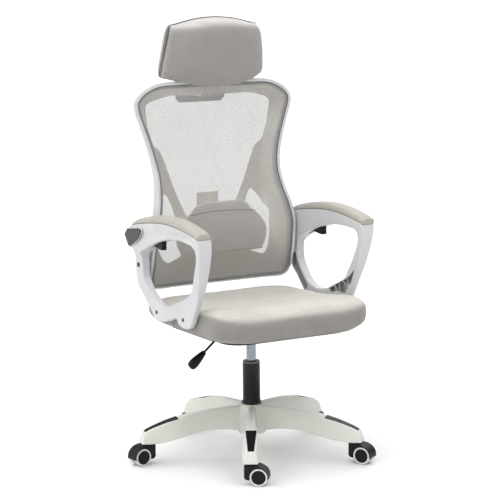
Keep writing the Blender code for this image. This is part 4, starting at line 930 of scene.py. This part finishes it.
def bolt_mesh(shank, head, under, seat_x, top_x):
    """A pan-head bolt along X with a hexagon socket in its head."""
    profile = [(0.0, under), (shank, under), (shank, seat_x), (head, seat_x), (head, seat_x + 0.0008),
               (head * 0.88, top_x - 0.0004), (head * 0.7, top_x), (0.0, top_x)]
    bolt = turned(profile, "X", 40)
    return combined(bolt, rod(head * 0.48, top_x - 0.0016, top_x + 0.002, "X", 6))


def build_arms():
    centre = Vector(JOINTS["back_recline"]["pos_m"])
    centre = Vector((0.0, centre.y - LIFT.y, centre.z))
    slot = prism(rounded(TRIGGER_SLOT, 0.003), "X", TRIGGER_X[0] - 0.0005, TRIGGER_X[1] + 0.0005)
    holes = [(centre.y, centre.z, 0.0075, 0.27)]
    holes += [(y, z, 0.0062, face - 0.001) for y, z, face in ARM_BOLTS]
    body = arm_mesh()
    body.materials.append(WHITE)
    arm = combined(body, slot)
    for outline in HOLLOWS:
        arm = combined(arm, hollow_mesh(outline))
    for y, z, radius, depth in holes:
        arm = combined(arm, shifted(rod(radius, depth, 0.3, "X"), 0.0, y, z))
    lever = prism(rounded(TRIGGER_OUTLINE, 0.0025, 3), "X", *TRIGGER_X)
    cap = prism(rounded(CAP_OUTLINE, 0.003), "X", *CAP_X)
    wider = [(CAP_MIDDLE[0] + (y - CAP_MIDDLE[0]) * 1.1, CAP_MIDDLE[1] + (z - CAP_MIDDLE[1]) * 1.14)
             for y, z in CAP_OUTLINE]
    border = prism(rounded(wider, 0.004), "X", *BORDER_X)
    pivot_bolt = bolt_mesh(0.004, 0.0066, 0.228, 0.2703, 0.274)
    arm_bolts = [bolt_mesh(0.003, 0.005, 0.225, face - 0.0008, face + 0.002)
                 for _, _, face in ARM_BOLTS]
    for side, sign in SIDES:
        turn_over = mirrored if sign < 0.0 else (lambda mesh: mesh.copy())
        add(f"arm_frame_{side}", turn_over(arm), WHITE, "seat", f"arm_shell_{side}",
            bevel=0.0006)
        pad = add(f"arm_cushion_{side}", turn_over(pad_mesh()), PAD_SKIN, "seat", f"arm_pad_{side}",
                  subdivide=1)
        add(f"arm_cap_border_{side}", turn_over(border), WHITE, "seat", bevel=0.0009)
        add(f"arm_cap_{side}", turn_over(cap), SMOKED, "seat", f"arm_corner_cap_{side}",
            bevel=0.0012)
        add(f"recline_blade_{side}", turn_over(lever), BLACK, f"recline_lever_{side}",
            f"recline_lever_{side}", bevel=0.0013)
        add(f"pivot_bolt_{side}", turn_over(pivot_bolt), ZINC, "seat", f"back_pivot_bolt_{side}",
            place=LIFT + centre)
        for number, (y, z, _) in enumerate(ARM_BOLTS, 1):
            add(f"strut_bolt_{side}_{number}", turn_over(arm_bolts[number - 1]), ZINC, "seat",
                f"arm_bolt_{side}_{number}", place=LIFT + Vector((0.0, y, z)))


# ---- back --------------------------------------------------------------------------------
# Height: half width of the mesh, its depth y, and how deep the rim's side is.
BACK_SHAPE = (
    (0.482, 0.211, 0.176, 0.026),
    (0.503, 0.2285, 0.166, 0.028),
    (0.55, 0.2285, 0.152, 0.03),
    (0.6, 0.227, 0.141, 0.03),
    (0.65, 0.224, 0.1335, 0.03),
    (0.7, 0.213, 0.137, 0.028),
    (0.75, 0.201, 0.154, 0.026),
    (0.8, 0.196, 0.171, 0.022),
    (0.85, 0.203, 0.184, 0.016),
    (0.9, 0.216, 0.1895, 0.012),
    (0.95, 0.233, 0.1935, 0.01),
    (0.99, 0.246, 0.1945, 0.01),
    (1.015, 0.245, 0.1945, 0.01),
    (1.039, 0.218, 0.195, 0.01),
    (1.054, 0.175, 0.1965, 0.01),
)
CORD_LOW_Z = 0.505                  # the edge cord stops above the fabric's bottom hem
RIM_WIDTHS = ((0.486, 0.0038), (0.52, 0.0085), (0.56, 0.0105), (1.06, 0.0105))   # by height
RIM_PROUD = 0.0025
FLANGE_WIDTH = 0.0085
# Height and depth y of the moulded web behind the mesh.
WEB_DEPTH = (
    (0.487, 0.183), (0.5, 0.186), (0.53, 0.195), (0.57, 0.203), (0.62, 0.215),
    (0.66, 0.232), (0.7, 0.238), (0.75, 0.238), (0.88, 0.237), (0.95, 0.234),
    (1.0, 0.23), (1.025, 0.222), (1.048, 0.201),
)
WEB_THICK = 0.004
# Height and |x| of the step between each slanting strut and the panel outside it.
STRUT_EDGE = ((0.48, 0.3), (0.56, 0.3), (0.7, 0.124), (0.742, 0.142), (0.8, 0.178), (0.84, 0.3))
MIDDLE_WINDOW = ((0.09, 1.024), (0.125, 1.026), (0.165, 1.018), (0.195, 1.009), (0.205, 1.0),
                 (0.205, 0.985), (0.198, 0.938), (0.182, 0.886), (0.17, 0.877), (0.158, 0.868),
                 (0.14, 0.824), (0.12, 0.77), (0.1, 0.725), (0.088, 0.7), (0.074, 0.67),
                 (0.06, 0.66))
SIDE_WINDOW = ((0.142, 0.742), (0.13, 0.718), (0.12, 0.694), (0.112, 0.665), (0.106, 0.62),
               (0.106, 0.572), (0.122, 0.558), (0.158, 0.545), (0.17, 0.551), (0.181, 0.572),
               (0.192, 0.612), (0.196, 0.655), (0.194, 0.675), (0.17, 0.715))
LUMBAR_OUTLINE = ((0.05, 0.718), (0.085, 0.707), (0.097, 0.693), (0.122, 0.673),
                  (0.142, 0.648), (0.15, 0.627), (0.146, 0.597), (0.135, 0.577), (0.114, 0.568))
LUMBAR_MIDDLE_Z = 0.64
LUMBAR_NIBS = ((0.073, 0.638), (0.056, 0.604))      # |x| and z of the small ridges on the pad's face


def back_loop():
    """Points round the mesh's edge, anticlockwise from the bottom right: x, y, z, rim depth."""
    right = [(width, y, z, deep) for z, width, y, deep in BACK_SHAPE]
    bottom_z, bottom_half, bottom_y, bottom_deep = BACK_SHAPE[0]
    top_z, top_half, top_y, top_deep = BACK_SHAPE[-1]
    crown = [(top_half * share, top_y, top_z + 0.004 * (1.0 - share * share), top_deep)
             for share in (0.66, 0.33, 0.0, -0.33, -0.66)]
    sill = [(bottom_half * share, bottom_y, bottom_z, bottom_deep) for share in (-0.66, 0.0, 0.66)]
    left = [(-x, y, z, deep) for x, y, z, deep in reversed(right)]
    return smooth_run(right + crown + left + sill, 8, closed=True)


def rim_mesh():
    """The rim with its rebate for the mesh, as one closed run of rounded sections."""
    loop = back_loop()
    rings = []
    for index, (x, y, z, deep) in enumerate(loop):
        before, after = loop[index - 1], loop[(index + 1) % len(loop)]
        out = Vector((after[2] - before[2], before[0] - after[0])).normalized()
        wide = between(RIM_WIDTHS, z)[0]
        outline = [(wide, y - RIM_PROUD), (0.0012, y - RIM_PROUD), (0.0012, y + 0.0023),
                   (-FLANGE_WIDTH, y + 0.0023), (-FLANGE_WIDTH, y + deep), (wide, y + deep)]
        section = rounded(outline, 0.0018, 3)
        rings.append([(x + out.x * reach, depth, z + out.y * reach) for reach, depth in section])
    return skin(rings, closed=True)


def web_mesh():
    """The dished web that braces the rim behind the mesh, before its windows are cut."""
    curve = smooth_run(BACK_SHAPE, 6)
    depths = smooth_run(WEB_DEPTH, 6)
    count, columns = 110, 48
    low_z, high_z = 0.4875, 1.051
    rings = []
    for k in range(count + 1):
        height = low_z + (high_z - low_z) * k / count
        half, y, deep = between(curve, height)
        web_y = between(depths, height)[0]
        step_x = between(STRUT_EDGE, height)[0]
        edge = half - 0.002
        front, rear = [], []
        for column in range(columns + 1):
            x = edge * (-1.0 + 2.0 * column / columns)
            rise = 1.0 - ease(abs(x), half - 0.034, edge)
            lip_front, lip_rear = y + 0.0045, y + 0.65 * deep
            step = 0.0025 * ease(abs(x), step_x - 0.001, step_x + 0.002) * rise
            front.append((x, lip_front + (web_y - lip_front) * rise + step, height))
            rear.append((x, lip_rear + (web_y + WEB_THICK - lip_rear) * rise + step, height))
        rings.append(front + rear[::-1])
    return skin(rings)


def both_sides(outline):
    return list(outline) + [(-x, z) for x, z in reversed(outline)]


def window_outlines():
    side = rounded(SIDE_WINDOW, 0.008, 3)
    return [rounded(both_sides(MIDDLE_WINDOW), 0.008, 3), side, [(-x, z) for x, z in side]]


def build_back_frame():
    web = web_mesh()
    for outline in window_outlines():
        web = combined(web, prism(outline, "Y", 0.12, 0.33))
    web = united(web, block((-0.03, 0.22, 1.019), (0.03, 0.279, 1.048), 0.004))
    web = combined(web, block((-0.0207, 0.2618, 1.0), (0.0207, 0.2707, 1.07)))
    add("back_web", softened(web, 0.0017, 5), WEB_WHITE_PAINTED_LIGHT, "back", "back_frame")
    add("back_rim", rim_mesh(), WHITE, "back", "back_frame", sharp=60.0)


def build_bosses():
    centre = Vector(JOINTS["back_recline"]["pos_m"])
    for side, sign in SIDES:
        low, high = span(sign, 0.233, 0.2466)
        boss = combined(rod(0.0112, low, high, "X"), rod(0.0044, low - 0.01, high + 0.01, "X"))
        add(f"pivot_boss_{side}", boss, WHITE, "back", bevel=0.0008, place=centre)


def build_back_mesh():
    """The stretched fabric: one flat-across sheet, a little puckered under the headrest."""
    curve = smooth_run(BACK_SHAPE, 6)
    rows, columns = 150, 72
    low_z, high_z = BACK_SHAPE[0][0], BACK_SHAPE[-1][0]
    form = bmesh.new()
    grid = []
    for k in range(rows + 1):
        height = low_z + (high_z - low_z) * k / rows
        half, y, _ = between(curve, height)
        line = []
        for column in range(columns + 1):
            share = -1.0 + 2.0 * column / columns
            x = share * (half + 0.0008)
            crown = 0.004 * (1.0 - share * share) * ease(height, high_z - 0.012, high_z)
            fold = math.exp(-((height - 1.038) / 0.013) ** 2 - (x / 0.055) ** 4)
            pucker = 0.0016 * fold * math.sin(x * 260.0 + 1.3 * math.sin(x * 61.0))
            line.append(form.verts.new((x, y + 0.0004 + pucker, height + crown)))
        grid.append(line)
    for low_line, high_line in zip(grid, grid[1:]):
        for column in range(columns):
            form.faces.new((low_line[column], low_line[column + 1],
                            high_line[column + 1], high_line[column]))
    sheet = add("back_fabric", to_mesh(form), MESH_FABRIC, "back", "back_mesh")
    edge = [(x, y - 0.0004, z) for x, y, z, _ in back_loop()]
    lowest = min(range(len(edge)), key=lambda k: edge[k][2])
    edge = [point for point in edge[lowest:] + edge[:lowest] if point[2] > CORD_LOW_Z]
    add("back_edge_cord", tube_along(edge, CORD_R), SEAM_DARK_AND_CREASE_SHADE, "back")


def build_lumbar():
    outline = smooth_run(both_sides(LUMBAR_OUTLINE), 3, closed=True)
    rings = []
    for depth, shrink in ((0.1545, 0.86), (0.1548, 0.93), (0.1562, 0.975), (0.159, 1.0), (0.166, 1.0),
                          (0.1676, 0.99), (0.168, 0.97)):
        rings.append([(x * shrink, depth, LUMBAR_MIDDLE_Z + (z - LUMBAR_MIDDLE_Z) * shrink)
                      for x, z in outline])
    stem = block((-0.022, 0.166, 0.686), (0.022, 0.248, 0.7), 0.002)
    tab = block((-0.036, 0.243, 0.684), (0.036, 0.2495, 0.737), 0.002)
    pad = united(skin(rings), stem, tab)
    add("lumbar_shell", pad, WEB_WHITE_PAINTED_LIGHT, "lumbar", "lumbar_pad", bevel=0.001)
    for side, sign in SIDES:
        for number, (x, z) in enumerate(LUMBAR_NIBS, 1):
            low, high = span(sign, x - 0.008, x + 0.008)
            nib = block((low, 0.1532, z - 0.0013), (high, 0.1552, z + 0.0013), 0.001)
            add(f"lumbar_nib_{side}_{number}", nib, WEB_WHITE_PAINTED_LIGHT, "lumbar",
                bevel=0.0005)
    # A dark cord along the pad's upper crease: painted shade where the crease shades the pad.
    crease = [(x, 0.1546, 0.6835 + 0.008 * (1.0 - (x / 0.11) ** 2))
              for x in (0.11 * k / 20 for k in range(-20, 21))]
    add("lumbar_crease_shade", tube_along(crease, 0.0011), SEAM_DARK_AND_CREASE_SHADE, "lumbar")
    for k in range(-2, 3):
        x = k * 0.013
        rib = block((x - 0.0022, 0.2412, 0.704), (x + 0.0022, 0.2436, 0.732), 0.0008)
        add(f"lumbar_tab_rib_{k + 3}", rib, WEB_WHITE_PAINTED_LIGHT, "lumbar", bevel=0.0005)


# ---- headrest ----------------------------------------------------------------------------
HEADREST_HALF = 0.166
SHELL_EXTRA = 0.006
HEAD_TOP_CORNER = 0.02
HEAD_LOW_CORNER = 0.012
HEAD_COLUMNS = 33


def headrest_span(x):
    share = min(abs(x) / HEADREST_HALF, 1.0)
    return 1.052 + 0.026 * share ** 2, 1.247 - 0.02 * share ** 2


def headrest_rear(z):
    """Depth y of the plane where cushion and shell meet; it leans forward as it rises."""
    return 0.2225 - 0.15 * (z - 1.08)


def headrest_half(z, extra):
    """Half width at a height: narrower towards the top, and rounded in at both ends of the side edge."""
    half = HEADREST_HALF + extra - 0.0205 * min(max((z - 1.08) / 0.15, 0.0), 1.0)
    low, high = headrest_span(HEADREST_HALF)
    for reach, corner in ((z - low - extra * 0.5, HEAD_LOW_CORNER), (high + extra - z, HEAD_TOP_CORNER)):
        short = min(max(corner - reach, 0.0), corner)
        half -= corner - math.sqrt(corner * corner - short * short)
    return half


def headrest_sides():
    """Shares of the half width from right to left, closer together towards both ends."""
    shares = [-1.0 + 2.0 * k / (HEAD_COLUMNS - 1) for k in range(HEAD_COLUMNS)]
    return [math.sin(share * math.pi / 2.0) for share in shares]


def headrest_cover():
    rings = []
    outline = smooth_run([(0.06, -0.0065), (0.05, 0.004), (0.022, 0.022), (0.0, 0.042), (0.02, 0.062),
                          (0.2, 0.07), (0.45, 0.073), (0.7, 0.068), (0.88, 0.056), (0.97, 0.036),
                          (1.0, 0.014), (1.0, 0.002), (0.99, -0.0065)], 3)
    for side in headrest_sides():
        low, high = headrest_span(side * HEADREST_HALF)
        bulge = 1.0 - 0.72 * abs(side) ** 3.0
        ring = []
        for share, puff in outline:
            z = low + (high - low) * share
            forward = puff * bulge if puff > 0.0 else puff
            ring.append((side * headrest_half(z, 0.0025), headrest_rear(z) - 0.0015 - forward, z))
        rings.append(ring)
    return skin(rings)


def headrest_back():
    rings = []
    for side in headrest_sides():
        low, high = headrest_span(side * HEADREST_HALF)
        low, high = low + 0.034 - 0.032 * abs(side) ** 3, high + 0.003
        bulge = 1.0 - 0.6 * abs(side) ** 4.0
        ring = []
        for share, depth in rounded([(0.0, 0.0), (1.0, 0.0), (0.98, 0.006), (0.75, 0.015), (0.25, 0.015),
                                     (0.02, 0.006)], 0.06, 3):
            z = low + (high - low) * share
            ring.append((side * headrest_half(z, SHELL_EXTRA), headrest_rear(z) + depth * bulge, z))
        rings.append(ring)
    return skin(rings)


def headrest_edge(inset, forward):
    """A closed line round the headrest where cushion and shell meet."""
    def place(side, z):
        return (side * headrest_half(z, -inset), headrest_rear(z) - forward, z)

    steps = 24
    shares = [1.0 - 2.0 * k / steps for k in range(steps + 1)]
    low_end, high_end = headrest_span(HEADREST_HALF)
    heights = [high_end - inset - (high_end - low_end - 2.0 * inset) * k / steps for k in range(1, steps)]
    over = [place(side, headrest_span(side * HEADREST_HALF)[1] - inset) for side in shares]
    under = [place(-side, headrest_span(side * HEADREST_HALF)[0] + 0.002) for side in shares]
    return over + [place(-1.0, z) for z in heights] + under + [place(1.0, z) for z in reversed(heights)]


def build_headrest():
    cover = swollen(headrest_cover(), 0.005,
                    lambda point: ease(headrest_rear(point.z) - point.y, 0.004, 0.022))
    for vertex in cover.vertices:
        here = vertex.co
        limit = headrest_rear(here.z) - 0.0008
        drift = 0.0009 * noise.noise(here * 13.0)
        vertex.co.y = min(here.y + drift, limit)
    cushion = add("headrest_pad", cover, HEAD_FABRIC, "headrest", "headrest_cushion",
                  subdivide=1)
    piping = tube_along(headrest_edge(0.001, 0.0035), 0.0019, True)
    add("headrest_piping", piping, PIPING, "headrest")
    seam = tube_along(headrest_edge(-0.0022, 0.0012), 0.001, True)
    add("headrest_seam", seam, SEAM_DARK_AND_CREASE_SHADE, "headrest")
    pivot = Vector(JOINTS["headrest_tilt"]["pos_m"]) - LIFT
    add("headrest_cover_back", headrest_back(), WHITE, "headrest", "headrest_shell",
        sharp=60.0)
    for side, sign in SIDES:
        low, high = span(sign, 0.0316, 0.04)
        lug = prism(rounded([(0.222, 1.118), (0.248, 1.121), (0.254, 1.13), (0.248, 1.139),
                             (0.22, 1.144)], 0.003), "X", low, high)
        bore = shifted(rod(0.0038, low - 0.01, high + 0.01, "X"), 0.0, pivot.y, pivot.z)
        add(f"headrest_lug_{side}", combined(lug, bore), WHITE, "headrest",
            bevel=0.0007)


def build_bracket():
    pivot = Vector(JOINTS["headrest_tilt"]["pos_m"]) - LIFT
    cover = prism(rounded([(-0.07, 1.0), (0.07, 1.0), (0.082, 1.016), (0.082, 1.066),
                           (-0.082, 1.066), (-0.082, 1.016)], 0.006), "Y", 0.28, 0.286)
    bridge = block((-0.03, 0.256, 1.053), (0.03, 0.283, 1.066))
    rise = smooth_run(((1.06, 0.256, 0.265), (1.1, 0.243, 0.251), (1.128, 0.242, 0.249)), 5)
    riser = skin([[(side * 0.029, y, z) for side, y in ((-1, front), (1, front), (1, rear), (-1, rear))]
                  for z, front, rear in rise])
    barrel = shifted(rod(0.0065, -0.031, 0.031, "X"), 0.0, pivot.y, pivot.z)
    trunnion = shifted(rod(0.0035, -0.038, 0.038, "X"), 0.0, pivot.y, pivot.z)
    bar = block((-0.02, 0.2624, 1.002), (0.02, 0.2701, 1.08), 0.002)
    add("headrest_carrier_arm", united(bar, cover, bridge, riser, barrel, trunnion), WHITE,
        "headrest_carrier", "headrest_bracket", bevel=0.001)


# ---- looks of the CAD nodes that stay ------------------------------------------------------
def dress_kept_nodes():
    for node, look in (("seat_mechanism", BLACK_STEEL), ("lift_rod", CHROME), ("lift_rod_clip", BLACK_STEEL),
                       ("lift_release_pin", ZINC)):
        dress(node, look)


# ---- studio ------------------------------------------------------------------------------
# Name, direction the light comes from, strength and spread of each lamp.
LAMPS = (
    ("overhead", (-0.12, -0.2, 1.0), 3.5, 100.0),
    ("rear_left", (-1.0, 0.9, 0.8), 0.8, 50.0),
    ("rear_right", (1.0, 0.9, 0.8), 0.8, 50.0),
    ("left", (-1.0, -0.3, 0.5), 0.25, 40.0),
)
FLOOR_HALF = 120.0                  # so far out that the floor's edge is the horizon


def studio():
    """A pale floor that reaches the horizon, under one broad overhead sun and three weaker ones."""
    scene = bpy.context.scene
    scene.view_settings.view_transform = "Standard"
    world = bpy.data.worlds.new("studio")
    scene.world = world
    world.use_nodes = True
    sky = world.node_tree.nodes["Background"]
    sky.inputs["Color"].default_value = (1.0, 1.0, 1.0, 1.0)
    sky.inputs["Strength"].default_value = 0.22

    look = Look("studio_floor", Roughness=0.9, Specular_IOR_Level=0.0)
    look.fill(look.sockets["Base Color"], look.mix(look.speckle(3.0), (0.79,) * 3, (0.81,) * 3))
    form = bmesh.new()
    form.faces.new([form.verts.new((x * FLOOR_HALF, y * FLOOR_HALF, 0.0))
                    for x, y in ((-1, -1), (1, -1), (1, 1), (-1, 1))])
    floor = bpy.data.objects.new("studio_floor", to_mesh(form))
    floor.data.materials.append(look.material)
    scene.collection.objects.link(floor)

    for name, source, strength, spread in LAMPS:
        data = bpy.data.lights.new(name, "SUN")
        data.energy = strength
        data.angle = math.radians(spread)
        lamp = bpy.data.objects.new(name, data)
        scene.collection.objects.link(lamp)
        lamp.rotation_euler = (-Vector(source)).to_track_quat("-Z", "Y").to_euler()


CAMERA_AZIMUTH = math.radians(30.283)
CAMERA_PITCH = math.radians(9.009)
CAMERA_ROLL = math.radians(-0.595)
CAMERA_AT = Vector((-2.527, -4.327, 1.39))
CAMERA_LENS = 128.73


def camera():
    data = bpy.data.cameras.new("camera")
    data.lens = CAMERA_LENS
    data.sensor_width = 36.0
    made = bpy.data.objects.new("camera", data)
    bpy.context.scene.collection.objects.link(made)
    level = Vector((math.sin(CAMERA_AZIMUTH), math.cos(CAMERA_AZIMUTH), 0.0))
    ahead = level * math.cos(CAMERA_PITCH) - Vector((0.0, 0.0, math.sin(CAMERA_PITCH)))
    right = Vector((level.y, -level.x, 0.0))
    up = right.cross(ahead)
    tilted = right * math.cos(CAMERA_ROLL) + up * math.sin(CAMERA_ROLL)
    axes = Matrix((tilted, tilted.cross(ahead), -ahead)).transposed()
    made.matrix_world = Matrix.Translation(LIFT + CAMERA_AT) @ axes.to_4x4()
    bpy.context.scene.camera = made


for build in (camera, studio, build_base, build_casters, build_lift, build_height_lever, build_seat,
              build_arms, build_back_frame, build_bosses, build_back_mesh, build_lumbar, build_headrest,
              build_bracket, dress_kept_nodes):
    build()
